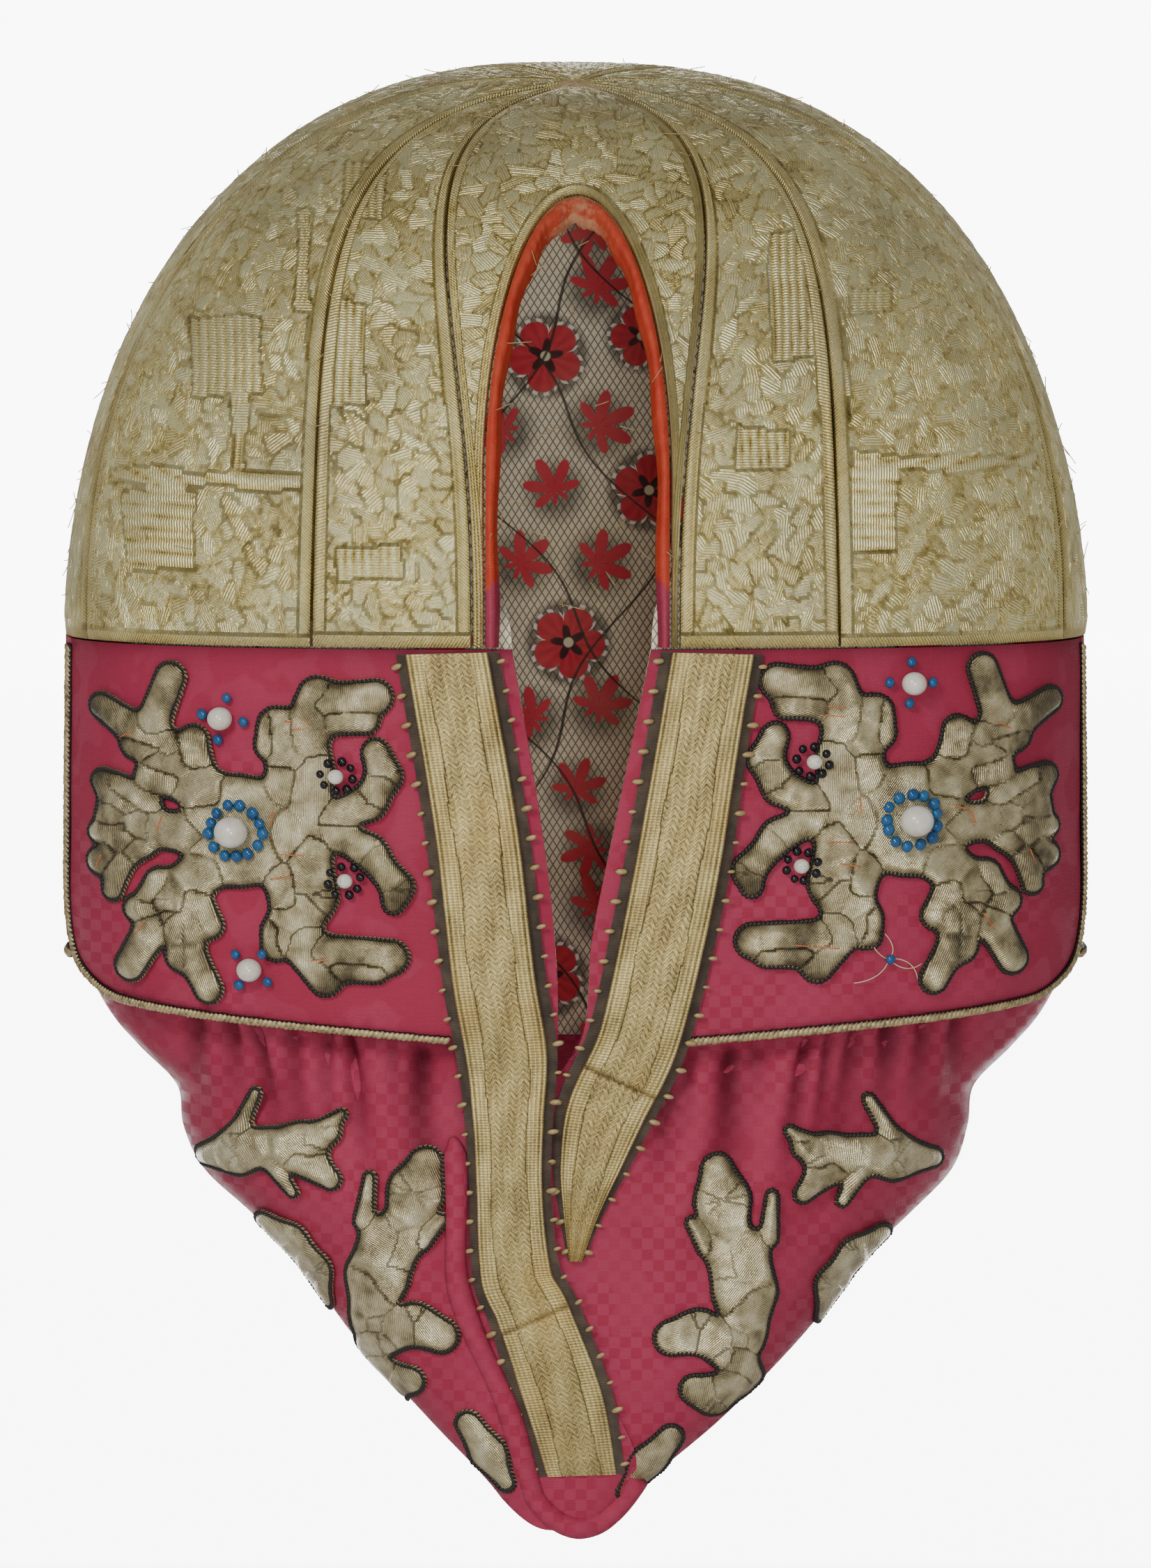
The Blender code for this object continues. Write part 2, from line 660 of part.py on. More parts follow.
def crown_lining():
    """The printed cotton inside the crown, open along the slit."""
    inset = GORE_WALL + LINING_GAP

    def point(across, down, depth):
        fall = max(fall_at(down), 0.02)
        z = crown_skin(0, fall)[2]
        edge = crown_place(slit_half(z, -LINING_BACKSET), z)[0]
        start = max(edge, math.radians(2))
        return crown_point(between(start, 2 * math.pi - start, across), fall, inset + depth)

    return patch("lining_crown", point, 19, 8, LINING_WALL, PRINT)


def body_lining():
    """The printed cotton inside the panels and the front band, down to where the flaps begin."""
    inset = PANEL_WALL + LINING_GAP
    top = CROWN_BASE - SEAM_GAP

    def point(across, down, depth):
        z = top
        for _ in range(6):
            start = body_turn(slit_edge(1, z), z)
            end = 2 * math.pi + body_turn(slit_edge(-1, z), z)
            turn = between(start, end, across)
            near = min(abs(turn), abs(2 * math.pi - turn))
            z = between(top, band_bottom(near) + TUCK + 2 * SEAM_GAP, down)
        return body_point(turn, z, inset + depth)

    return patch("lining_body", point, 30, 3, LINING_WALL, PRINT)


def strip(name, table, side, width, out, wall, finish, rows=15):
    """A woven strip along one edge of the slit, out from the silk by a given distance."""
    first, last = table[0][0], table[-1][0]

    def point(across, down, depth):
        drop = between(first, last, down)
        z = level_of(drop)
        middle = HALF_WIDTH * from_table(table, 1, drop)
        half = width / 2 * from_table(table, 2, drop)
        x = between(middle - half, middle + half, across)
        return on_body(x, z, max(lift_of(side, x, z), 0) + out + wall - depth)

    return patch(name, point, 2, rows, wall, finish)


def tube(name, points, diameter, finish):
    """A cord through the given points, with closed ends."""
    curve = bpy.data.curves.new(name, "CURVE")
    curve.dimensions = "3D"
    curve.bevel_depth = diameter / 2
    curve.bevel_resolution = 2
    curve.use_fill_caps = True
    spline = curve.splines.new("POLY")
    spline.points.add(len(points) - 1)
    for spot, place in zip(spline.points, points):
        spot.co = (*place, 1)
    curve.materials.append(material(finish))
    piece = bpy.data.objects.new(name, curve)
    collection.objects.link(piece)
    return piece


def panel_cord(side):
    """The cord sewn along a back panel's side edge and under it to the galloon."""
    table = LEFT_GALLOON if side < 0 else RIGHT_GALLOON
    stop = abs(HALF_WIDTH * from_table(table, 1, drop_of(BAND_BACK_LEVEL))) + RIBBON_WIDTH / 2
    centre = -(CORD_DIAMETER / 2 + CORD_GAP)
    points = []
    edge = PANEL_END - CORD_DIAMETER * 0.7 / HALF_DEPTH
    for i in range(5):
        z = between(CROWN_BASE - CORD_DIAMETER, band_bottom(edge) + 1.6 * CORD_DIAMETER, i / 4)
        points.append(body_point(side * edge, z, centre))
    last = body_turn(stop + 1.5 * MM, BAND_BACK_LEVEL)
    for i in range(12):
        turn = between(edge - math.radians(2), last, i / 11)
        z = band_bottom(turn) + CORD_DIAMETER * 0.7
        points.append(body_point(side * turn, z, centre))
    return tube("cord_left" if side < 0 else "cord_right", points, CORD_DIAMETER, CORD)


def front_cord():
    """The cord along the lower edge of the front band, from ear to ear."""
    start = PANEL_END + CORD_DIAMETER * 1.2 / HALF_DEPTH
    points = []
    for i in range(19):
        turn = between(start, 2 * math.pi - start, i / 18)
        z = BAND_SIDE_LEVEL + CORD_DIAMETER * 0.7
        points.append(body_point(turn, z, -(CORD_DIAMETER / 2 + CORD_GAP)))
    return tube("cord_front", points, CORD_DIAMETER, CORD)


def rolled_edge():
    """The left flap's silk rolled over beside its ribbon, down to the point."""
    points = []
    for i in range(13):
        drop = between(ROLLED_EDGE[0][0], ROLLED_EDGE[-1][0], i / 12)
        x, z = HALF_WIDTH * from_table(ROLLED_EDGE, 1, drop), level_of(drop)
        out = ROLL_DIAMETER * from_table(ROLLED_EDGE, 2, drop) + 2 * LAYER_GAP
        points.append(on_body(x, z, out + lift_of(-1, x, z)))
    return tube("rolled_edge", points, ROLL_DIAMETER, SILK)


def field(strokes, x, z):
    """Distance from a point to the outline of a motif, negative inside it; millimetres."""
    nearest = math.inf
    for x0, z0, r0, x1, z1, r1 in strokes:
        run, rise = x1 - x0, z1 - z0
        length = run * run + rise * rise
        t = ((x - x0) * run + (z - z0) * rise) / length if length else 0
        t = min(max(t, 0), 1)
        gap = math.hypot(x - x0 - run * t, z - z0 - rise * t) - between(r0, r1, t)
        nearest = min(nearest, gap)
    return nearest


def outline(strokes):
    """A motif's outer outline in millimetres, found on a net of triangles."""
    cell = APPLIQUE_CELL / MM
    low_x = min(min(s[0] - s[2], s[3] - s[5]) for s in strokes) - cell
    low_z = min(min(s[1] - s[2], s[4] - s[5]) for s in strokes) - cell
    high_x = max(max(s[0] + s[2], s[3] + s[5]) for s in strokes) + cell
    high_z = max(max(s[1] + s[2], s[4] + s[5]) for s in strokes) + cell
    columns = math.ceil((high_x - low_x) / cell)
    rows = math.ceil((high_z - low_z) / cell)
    value = {}
    for i in range(columns + 1):
        for j in range(rows + 1):
            value[i, j] = field(strokes, low_x + i * cell, low_z + j * cell) or 1e-6
    links = {}
    for i in range(columns):
        for j in range(rows):
            near, far = (i, j), (i + 1, j + 1)
            for ring in ((near, (i + 1, j), far), (near, far, (i, j + 1))):
                sides = [tuple(sorted(pair)) for pair in zip(ring, ring[1:] + ring[:1])]
                crossed = [(a, b) for a, b in sides if (value[a] < 0) != (value[b] < 0)]
                if crossed:
                    links.setdefault(crossed[0], []).append(crossed[1])
                    links.setdefault(crossed[1], []).append(crossed[0])
    loops = []
    while links:
        loop, place = [], next(iter(links))
        while place:
            loop.append(place)
            place = next((other for other in links.pop(place) if other in links), None)
        points = []
        for a, b in loop:
            share = value[a] / (value[a] - value[b])
            points.append(
                (
                    low_x + between(a[0], b[0], share) * cell,
                    low_z + between(a[1], b[1], share) * cell,
                )
            )
        loops.append(points)
    points = max(loops, key=len)
    half = len(points) // 2
    return straightened(points[: half + 1])[:-1] + straightened(points[half:] + points[:1])[:-1]


def straightened(chain):
    """The chain without the points that lie within OUTLINE_SLACK of a straight line."""
    (x0, z0), (x1, z1) = chain[0], chain[-1]
    length = math.hypot(x1 - x0, z1 - z0)
    far, widest = 0, OUTLINE_SLACK / MM
    for i in range(1, len(chain) - 1):
        x, z = chain[i]
        off = abs((x1 - x0) * (z - z0) - (z1 - z0) * (x - x0)) / length
        if off > widest:
            far, widest = i, off
    if not far:
        return [chain[0], chain[-1]]
    return straightened(chain[: far + 1])[:-1] + straightened(chain[far:])


# Where a motif is cut to bend: the axis across the cut, the cut's normal, and the facet's size.
PANEL_CUTS = ((0, (1, 0, 0), APPLIQUE_FACET * 1.3),)
FLAP_CUTS = ((0, (1, 0, 0), APPLIQUE_FACET), (2, (0, 0, 1), APPLIQUE_FACET * 1.4))


def motif_face(strokes, cut_lines):
    """The motif as a flat sheet, cut across where it has to bend round the cap."""
    strokes = [s for s in strokes if max(s[2], s[5]) >= THIN_STROKE / MM]
    loop = [Vector((x, 0, z)) for x, z in outline(strokes)]
    sheet = bmesh.new()
    corners = [sheet.verts.new(spot) for spot in loop]
    for triangle in tessellate_polygon([loop]):
        sheet.faces.new([corners[i] for i in triangle])
    for axis, normal, facet in cut_lines:
        first = min(v.co[axis] for v in sheet.verts)
        last = max(v.co[axis] for v in sheet.verts)
        cuts = math.ceil((last - first) * MM / facet)
        for i in range(1, cuts):
            bmesh.ops.bisect_plane(
                sheet,
                geom=sheet.verts[:] + sheet.edges[:] + sheet.faces[:],
                plane_co=[between(first, last, i / cuts)] * 3,
                plane_no=normal,
            )
    bmesh.ops.triangulate(sheet, faces=sheet.faces)
    return sheet


def applique(name, strokes, side, x, z, turn, lifted):
    """A padded gold lame motif laid on the silk: its outer and inner face, joined by a wall."""
    cos, sin = math.cos(math.radians(turn)), math.sin(math.radians(turn))
    sheet = motif_face(strokes, FLAP_CUTS if lifted else PANEL_CUTS)
    raised = bmesh.ops.extrude_face_region(sheet, geom=sheet.faces[:], use_keep_orig=True)
    outer = {g for g in raised["geom"] if isinstance(g, bmesh.types.BMVert)}
    for corner in sheet.verts:
        u, w = corner.co.x, corner.co.z
        across = x - side * (u * cos - w * sin) * MM
        level = z + (u * sin + w * cos) * MM
        out = lift_of(side, across, level) + FLAP_MOTIF_GAP if lifted else PALMETTE_GAP
        corner.co = on_body(across, level, out + (APPLIQUE_WALL if corner in outer else 0))
    return finished(name, sheet, LAME)


def pearl(name, diameter, side, x, z, out):
    """A round glass pearl sewn on the panel or the palmette."""
    mesh = bpy.data.meshes.new(name)
    ball = bmesh.new()
    bmesh.ops.create_uvsphere(ball, u_segments=8, v_segments=6, radius=diameter / 2)
    ball.to_mesh(mesh)
    ball.free()
    mesh.shade_smooth()
    mesh.materials.append(material(PEARL))
    piece = bpy.data.objects.new(name, mesh)
    piece.location = on_body(x, z, out + diameter / 2)
    collection.objects.link(piece)
    return piece


front_gore()
back_gore()
for side, hand in ((-1, "left"), (1, "right")):
    gore(f"gore_back_side_{hand}", side, 0, 1, 3)
    gore(f"gore_side_{hand}", side, 1, 2, 5)
    gore(f"gore_front_side_{hand}", side, 2, 3, 5)
slit_binding()
crown_lining()
front_band()
front_skirt()
body_lining()
front_cord()
rolled_edge()
for side, hand, table in ((-1, "left", LEFT_GALLOON), (1, "right", RIGHT_GALLOON)):
    back_panel(side)
    flap(side)
    panel_cord(side)
    strip(f"ribbon_{hand}", table, side, RIBBON_WIDTH, RIBBON_GAP, RIBBON_WALL, DARK)
    over = RIBBON_GAP + RIBBON_WALL + LAYER_GAP
    strip(f"galloon_{hand}", table, side, GALLOON_WIDTH, over, GALLOON_WALL, GOLD)
for side, x, z, turn in PALMETTE_PLACES:
    hand = "left" if side < 0 else "right"
    applique(f"palmette_{hand}", PALMETTE, side, x, z, turn, False)
    for name, diameter, across, up, sides in PEARL_PLACES:
        if side in sides:
            raised = field(PALMETTE, across, up) < diameter / 2 / MM
            out = PALMETTE_GAP + APPLIQUE_WALL + LAYER_GAP if raised else 0.0
            pearl(f"{name}_{hand}", diameter, side, x - side * across * MM, z + up * MM, out)
for name, strokes, side, x, z, turn in FLAP_MOTIFS:
    applique(name, strokes, side, x * MM, z * MM, turn, True)
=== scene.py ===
"""A kokoshnik seen from behind: a domed crown in couched gold thread, a long slit with a printed
lining behind it, silk back panels under padded gold palmettes and beads, and gathered flaps that
close to a point at the nape. +Z is up as worn, the back faces -Y, and lengths are in metres."""

import math

import bmesh
import bpy
import numpy as np
from mathutils import Euler, Matrix, Vector


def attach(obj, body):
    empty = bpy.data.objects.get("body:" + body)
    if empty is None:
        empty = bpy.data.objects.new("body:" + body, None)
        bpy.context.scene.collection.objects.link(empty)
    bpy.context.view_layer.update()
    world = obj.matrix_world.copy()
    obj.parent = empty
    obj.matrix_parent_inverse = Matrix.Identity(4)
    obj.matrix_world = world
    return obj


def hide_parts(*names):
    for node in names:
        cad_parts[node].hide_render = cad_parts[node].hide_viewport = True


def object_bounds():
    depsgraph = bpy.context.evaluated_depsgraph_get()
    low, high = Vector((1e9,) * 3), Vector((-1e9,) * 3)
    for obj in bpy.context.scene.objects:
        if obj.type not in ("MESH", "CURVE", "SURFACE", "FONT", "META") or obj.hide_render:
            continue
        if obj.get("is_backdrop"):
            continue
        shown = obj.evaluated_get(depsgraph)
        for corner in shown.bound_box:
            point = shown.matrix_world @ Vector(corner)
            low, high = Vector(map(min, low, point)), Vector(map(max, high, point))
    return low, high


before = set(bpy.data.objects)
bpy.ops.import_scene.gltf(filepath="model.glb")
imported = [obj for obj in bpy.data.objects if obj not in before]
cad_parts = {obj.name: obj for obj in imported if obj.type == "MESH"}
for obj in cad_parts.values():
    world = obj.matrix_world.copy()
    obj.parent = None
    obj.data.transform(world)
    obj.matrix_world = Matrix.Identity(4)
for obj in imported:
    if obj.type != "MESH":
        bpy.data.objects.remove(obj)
cad_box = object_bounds()
MM = 0.001

# The crown: eight gores of stiffened linen, covered edge to edge in couched gold thread: flat
# pads of leaves and ridged blocks, held by tiny stitches, inside three border cords that follow
# each seam, the slit and the lower edge. Each gore is its own wall, sewn to the next.
HALF_WIDTH, HALF_DEPTH, PLAN_POWER = 100 * MM, 70 * MM, 2.6
CROWN_TOP, CROWN_BASE = 5.2 * MM, -102.3 * MM
SPREAD_POWER, RISE_POWER, CROWN_LEAN = 2.5, 2.0, 0.3
APEX_FALL, GORE_WALL, SEAM_GAP = 0.008, 3.0 * MM, 0.4 * MM
SLIT_TOP, SLIT_HALF_WIDTH, SLIT_ROUNDING, SLIT_CENTRE = -15.6 * MM, 18.3 * MM, 54 * MM, 0.4 * MM
# Seams of the right half: the turn where they meet, the turn at the base, and the bend between.
SEAMS = ((45.0, 11.4, 2.3), (64.0, 28.8, 2.3), (108.0, 64.7, 1.5), (145.0, 125.0, 1.5))


def lerp(low, high, share):
    return low + (high - low) * share


def eased(share):
    share = np.clip(share, 0, 1)
    return share * share * (3 - 2 * share)


def plan(turn):
    """The rounded plan outline in shares, sideways and towards the back."""
    side, back = np.sin(turn), np.cos(turn)
    reach = (np.abs(side) ** PLAN_POWER + np.abs(back) ** PLAN_POWER) ** (-1 / PLAN_POWER)
    return side * reach, back * reach


def crown_skin(turn, fall):
    """The crown's plain surface at turns round it and falls from its top, as an array."""
    spread = np.sin(fall * np.pi / 2) ** (2 / SPREAD_POWER)
    rise = np.maximum(np.cos(fall * np.pi / 2), 0) ** (2 / RISE_POWER)
    side, back = plan(turn)
    y = -HALF_DEPTH * spread * back
    z = CROWN_BASE + (CROWN_TOP - CROWN_BASE) * rise + CROWN_LEAN * y * rise
    return np.stack((HALF_WIDTH * spread * side, y, z), -1)


def outward(skin, a, b, step_b=1e-4):
    """Unit normals of a surface of two coordinates, away from the middle of the cap."""
    step = 1e-4
    here = skin(a, b)
    normal = np.cross(skin(a + step, b) - here, skin(a, b + step_b) - here)
    normal /= np.maximum(np.linalg.norm(normal, axis=-1, keepdims=True), 1e-12)
    middle = np.array((0, 0, -0.1))
    facing = np.sum(normal * (here - middle), -1, keepdims=True)
    return np.where(facing < 0, -normal, normal)


def crown_out(turn, fall, out):
    """Points this far out from the crown's plain surface."""
    normal = outward(crown_skin, turn, np.minimum(fall, 0.985))
    point = crown_skin(turn, fall) + normal * np.asarray(out)[..., None]
    point[..., 2] = np.maximum(point[..., 2], CROWN_BASE)
    return point


def seam_turn(seam, fall):
    meeting, base, bend = SEAMS[seam]
    return np.radians(lerp(base, meeting, (1 - fall) ** bend))


def seam_clearance(fall):
    spread = np.sin(fall * np.pi / 2) ** (2 / SPREAD_POWER)
    return SEAM_GAP / 2 / (HALF_DEPTH * spread)


def turn_of(side):
    side = np.clip(side, -1, 1)
    return np.arctan2(side, (1 - np.abs(side) ** PLAN_POWER) ** (1 / PLAN_POWER))


def crown_place(x, z):
    """Turns and falls on the back of the crown at places seen from behind."""
    low, high = np.full(np.shape(x), 0.001), np.ones(np.shape(x))
    for _ in range(40):
        fall = (low + high) / 2
        spread = np.sin(fall * np.pi / 2) ** (2 / SPREAD_POWER)
        turn = turn_of(x / (HALF_WIDTH * spread))
        above = crown_skin(turn, fall)[..., 2] > z
        low, high = np.where(above, fall, low), np.where(above, high, fall)
    return turn, fall


def slit_half(z, shrink=0.0):
    share = np.clip((SLIT_TOP - shrink - z) / SLIT_ROUNDING, 0, 1)
    return (SLIT_HALF_WIDTH - shrink) * np.sqrt(1 - (1 - share) ** 2)


def slit_outline(along, shrink=0.0):
    """The slit in the crown, from its left foot at -1 over its head to its right foot at 1."""
    z = lerp(SLIT_TOP - shrink, CROWN_BASE, along**2)
    return SLIT_CENTRE + np.copysign(slit_half(z, shrink), along), z


def added(name, data):
    """A new object of the scene."""
    thing = bpy.data.objects.new(name, data)
    bpy.context.scene.collection.objects.link(thing)
    return thing


def smooth_solid(name, points, faces, attributes=()):
    """A closed mesh that faces out, with values stored at its points."""
    mesh = bpy.data.meshes.new(name)
    mesh.from_pydata(points.reshape(-1, 3).tolist(), [], faces)
    volume = bmesh.new()
    volume.from_mesh(mesh)
    if volume.calc_volume(signed=True) < 0:
        mesh.flip_normals()
    volume.free()
    for title, values in attributes:
        layer = mesh.attributes.new(title, "FLOAT", "POINT")
        layer.data.foreach_set("value", values.astype(np.float32))
    mesh.shade_smooth()
    return mesh


def wall_mesh(name, outer, inner, attributes=(), skip=1):
    """A closed wall between two grids of points, with values stored on its outer grid. The
    inner grid keeps one line of points in skip."""
    columns, rows = outer.shape[:2]
    count = columns * rows
    kept = [sorted({*range(0, n - 1, skip), n - 1}) for n in (columns, rows)]
    points = np.concatenate((outer.reshape(-1, 3), inner[np.ix_(*kept)].reshape(-1, 3)))
    index = np.arange(count).reshape(columns, rows)
    back = np.arange(len(kept[0]) * len(kept[1])).reshape(len(kept[0]), -1) + count

    def quads(net):
        a, b, c, d = net[:-1, :-1], net[:-1, 1:], net[1:, 1:], net[1:, :-1]
        return np.stack((a, b, c, d), -1).reshape(-1, 4)

    faces = quads(index).tolist() + quads(back)[:, ::-1].tolist()
    for line, marks, behind, turned in (
        (index[:, 0], kept[0], back[:, 0], False),
        (index[:, -1], kept[0], back[:, -1], True),
        (index[0], kept[1], back[0], True),
        (index[-1], kept[1], back[-1], False),
    ):
        for i in range(len(marks) - 1):
            front = line[marks[i] : marks[i + 1] + 1].tolist()
            face = front + [int(behind[i + 1]), int(behind[i])]
            faces.append(face[::-1] if turned else face)
    stored = [
        (title, np.concatenate((values.ravel(), values[np.ix_(*kept)].ravel())))
        for title, values in attributes
    ]
    mesh = smooth_solid(name, points, faces, stored)
    mesh.set_sharp_from_angle(angle=math.radians(60))
    return added(name, mesh)


class Sock:
    """A shader socket that takes part in Python expressions, which add Math nodes."""

    def __init__(self, nodes, out):
        self.nodes, self.out = nodes, out

    def maths(self, operation, *others):
        node = self.nodes.new("ShaderNodeMath")
        node.operation = operation
        for slot, value in zip(node.inputs, (self, *others)):
            plug(slot, value)
        return Sock(self.nodes, node.outputs[0])

    def __add__(self, other):
        return self.maths("ADD", other)

    def __radd__(self, other):
        return self.maths("ADD", other)

    def __sub__(self, other):
        return self.maths("SUBTRACT", other)

    def __rsub__(self, other):
        return (self * -1) + other

    def __mul__(self, other):
        return self.maths("MULTIPLY", other)

    def __rmul__(self, other):
        return self.maths("MULTIPLY", other)

    def __truediv__(self, other):
        return self.maths("DIVIDE", other)

    def clamp(self):
        return self.maths("MAXIMUM", 0).maths("MINIMUM", 1)

    def above(self, level, soft):
        """0 below a level and 1 above it, over a soft width."""
        return ((self - level) / soft + 0.5).clamp()


def plug(slot, value):
    if isinstance(value, Sock):
        slot.node.id_data.links.new(value.out, slot)
    else:
        slot.default_value = value


class Finish:
    """A material whose nodes are written as expressions."""

    def __init__(self, name, colour, roughness=0.5, metallic=0.0, sheen=0.0):
        self.material = bpy.data.materials.new(name)
        self.material.use_nodes = True
        self.nodes = self.material.node_tree.nodes
        self.shader = self.nodes["Principled BSDF"]
        self.shader.inputs["Base Color"].default_value = (*colour, 1)
        self.shader.inputs["Roughness"].default_value = roughness
        self.shader.inputs["Metallic"].default_value = metallic
        self.shader.inputs["Sheen Weight"].default_value = sheen

    def node(self, kind, settings=(), sockets=(), out=0):
        """Any other node: its type, its settings, its sockets' values or links, an output."""
        node = self.nodes.new(kind)
        for key, value in dict(settings).items():
            setattr(node, key, value)
        for key, value in dict(sockets).items():
            plug(node.inputs[key], value)
        return Sock(self.nodes, node.outputs[out])

    def value(self, name):
        """A value stored on the mesh."""
        return self.node("ShaderNodeAttribute", {"attribute_name": name}, out="Fac")

    def place(self, across="X", up="Z"):
        """Two object coordinates, in millimetres."""
        split = self.nodes.new("ShaderNodeSeparateXYZ")
        plug(split.inputs[0], self.node("ShaderNodeTexCoord", out="Object"))
        return tuple(Sock(self.nodes, split.outputs[key]) * (1 / MM) for key in (across, up))

    def noise(self, scale, detail=3.0, vector=None, roughness=0.55):
        """Smooth noise; its scale counts bumps per metre of the object."""
        vector = vector or self.node("ShaderNodeTexCoord", out="Object")
        sockets = {"Vector": vector, "Scale": scale, "Detail": detail, "Roughness": roughness}
        return self.node("ShaderNodeTexNoise", sockets=sockets)

    def vector(self, x, y):
        return self.node("ShaderNodeCombineXYZ", sockets={0: x, 1: y})

    def mix(self, share, low, high):
        """A colour between two colours."""
        node = self.nodes.new("ShaderNodeMix")
        node.data_type = "RGBA"
        plug(node.inputs["Factor"], share)
        for slot, value in ((6, low), (7, high)):
            plug(node.inputs[slot], value if isinstance(value, Sock) else (*value, 1))
        return Sock(self.nodes, node.outputs[2])

    def ramp(self, share, *stops):
        """A colour ramp of (place, colour) stops."""
        node = self.nodes.new("ShaderNodeValToRGB")
        scale = node.color_ramp.elements
        while len(scale) < len(stops):
            scale.new(0.5)
        for stop, (place, colour) in zip(scale, stops):
            stop.position, stop.color = place, (*colour, 1)
        plug(node.inputs[0], share)
        return Sock(self.nodes, node.outputs[0])

    def wear(self, **inputs):
        """Links values to the shader's own inputs, by name with _ for a space."""
        for key, value in inputs.items():
            plug(self.shader.inputs[key.replace("_", " ")], value)

    def bump(self, height, distance=0.2 * MM, strength=1.0):
        sockets = {"Height": height, "Distance": distance, "Strength": strength}
        plug(self.shader.inputs["Normal"], self.node("ShaderNodeBump", sockets=sockets))


def dressed(piece, finish, *nodes, slot=None):
    """Gives a piece its material and its body, and hides the CAD parts that it stands for."""
    if finish.material.name not in piece.data.materials:
        piece.data.materials.append(finish.material)
    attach(piece, "root")
    if nodes:
        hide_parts(*nodes)
    return piece


def wave_of(value, length):
    """A sine of a shader value, from -1 to 1, over this wavelength."""
    return (value * (2 * math.pi / length)).maths("SINE")


def ribs_of(value, length):
    return wave_of(value, length) * 0.5 + 0.5


def arcs(points, axis):
    """Lengths run along an axis of a grid of points, from its start."""
    steps = np.linalg.norm(np.diff(points, axis=axis), axis=-1)
    start = np.zeros_like(np.take(steps, [0], axis))
    return np.concatenate((start, np.cumsum(steps, axis)), axis)


def leaf_pads(u, v, seed, pitch=4.0 * MM):
    """Satin-stitched leaves packed edge to edge: their relief, thread coordinate and tone."""
    rng = np.random.default_rng(seed)
    grid_u = np.arange(u.min() - pitch, u.max() + pitch, pitch)
    grid_v = np.arange(v.min() - pitch, v.max() + pitch, pitch * 0.8)
    seed_u, seed_v = (g.ravel() for g in np.meshgrid(grid_u, grid_v, indexing="ij"))
    seed_u = seed_u + rng.uniform(-0.42, 0.42, seed_u.size) * pitch
    seed_v = seed_v + rng.uniform(-0.42, 0.42, seed_v.size) * pitch
    lean = rng.uniform(0, np.pi, seed_u.size)
    long = rng.uniform(1.25, 1.75, seed_u.size)
    stitch = lean + rng.choice((np.pi / 2, np.pi / 2, 0.5, -0.5), seed_u.size)
    shine = rng.uniform(-1, 1, seed_u.size)
    shape, u, v = u.shape, u.ravel(), v.ravel()
    relief, thread, tone = np.empty(u.size), np.empty(u.size), np.empty(u.size)
    for start in range(0, u.size, 4000):
        part = slice(start, start + 4000)
        off_u = u[part, None] - seed_u
        off_v = v[part, None] - seed_v
        along = (off_u * np.cos(lean) + off_v * np.sin(lean)) / long
        aside = (off_v * np.cos(lean) - off_u * np.sin(lean)) * long
        far = np.hypot(along, aside)
        two = np.argpartition(far, 1, axis=1)[:, :2]
        rows = np.arange(len(two))[:, None]
        near = far[rows, two]
        which = np.where(near[:, 0] < near[:, 1], two[:, 0], two[:, 1])
        first, second = near.min(1), near.max(1)
        relief[part] = 0.35 + 0.4 * np.clip((second - first) / (0.3 * pitch), 0, 1) ** 0.6
        pick = (np.arange(len(which)), which)
        thread[part] = off_u[pick] * np.cos(stitch[which]) + off_v[pick] * np.sin(stitch[which])
        tone[part] = shine[which]
    relief += 0.3 * np.abs(np.sin(np.pi * thread / (1.25 * MM))) - 0.05
    return relief.reshape(shape), thread.reshape(shape), tone.reshape(shape)


# Blocks of the embroidery as seen from behind, in millimetres: left, right, top and bottom, the
# ridges' pitch, and whether they run up and down (1), across (0), or close together as lines.
BLOCKS = (
    (-74.5, -60.5, -39.5, -54.5, 1.7, 1),
    (-51.5, -40.5, -36.5, -56.5, 1.6, 1),
    (-66.8, -63.4, -53.0, -68.6, 1.1, 1),
    (-52.0, -48.6, -57.0, -85.0, 1.1, 1),
    (-90.0, -52.0, -68.8, -72.2, 1.1, 0),
    (-87.4, -73.2, -72.6, -88.4, 2.3, 0),
    (-46.4, -33.0, -82.8, -89.4, 1.7, 1),
    (-45.4, -37.0, -10.2, -20.4, 1.6, 1),
    (-54.2, -51.2, -18.6, -38.6, 1.0, 1),
    (37.6, 47.4, -23.6, -47.0, 1.6, 1),
    (52.8, 61.0, -33.6, -38.6, 1.5, 1),
    (48.6, 52.6, -38.6, -88.0, 1.1, 1),
    (52.6, 62.2, -65.0, -84.4, 2.2, 0),
    (57.0, 90.0, -66.0, -69.0, 1.1, 0),
    (30.6, 41.0, -60.0, -68.0, 1.7, 1),
)


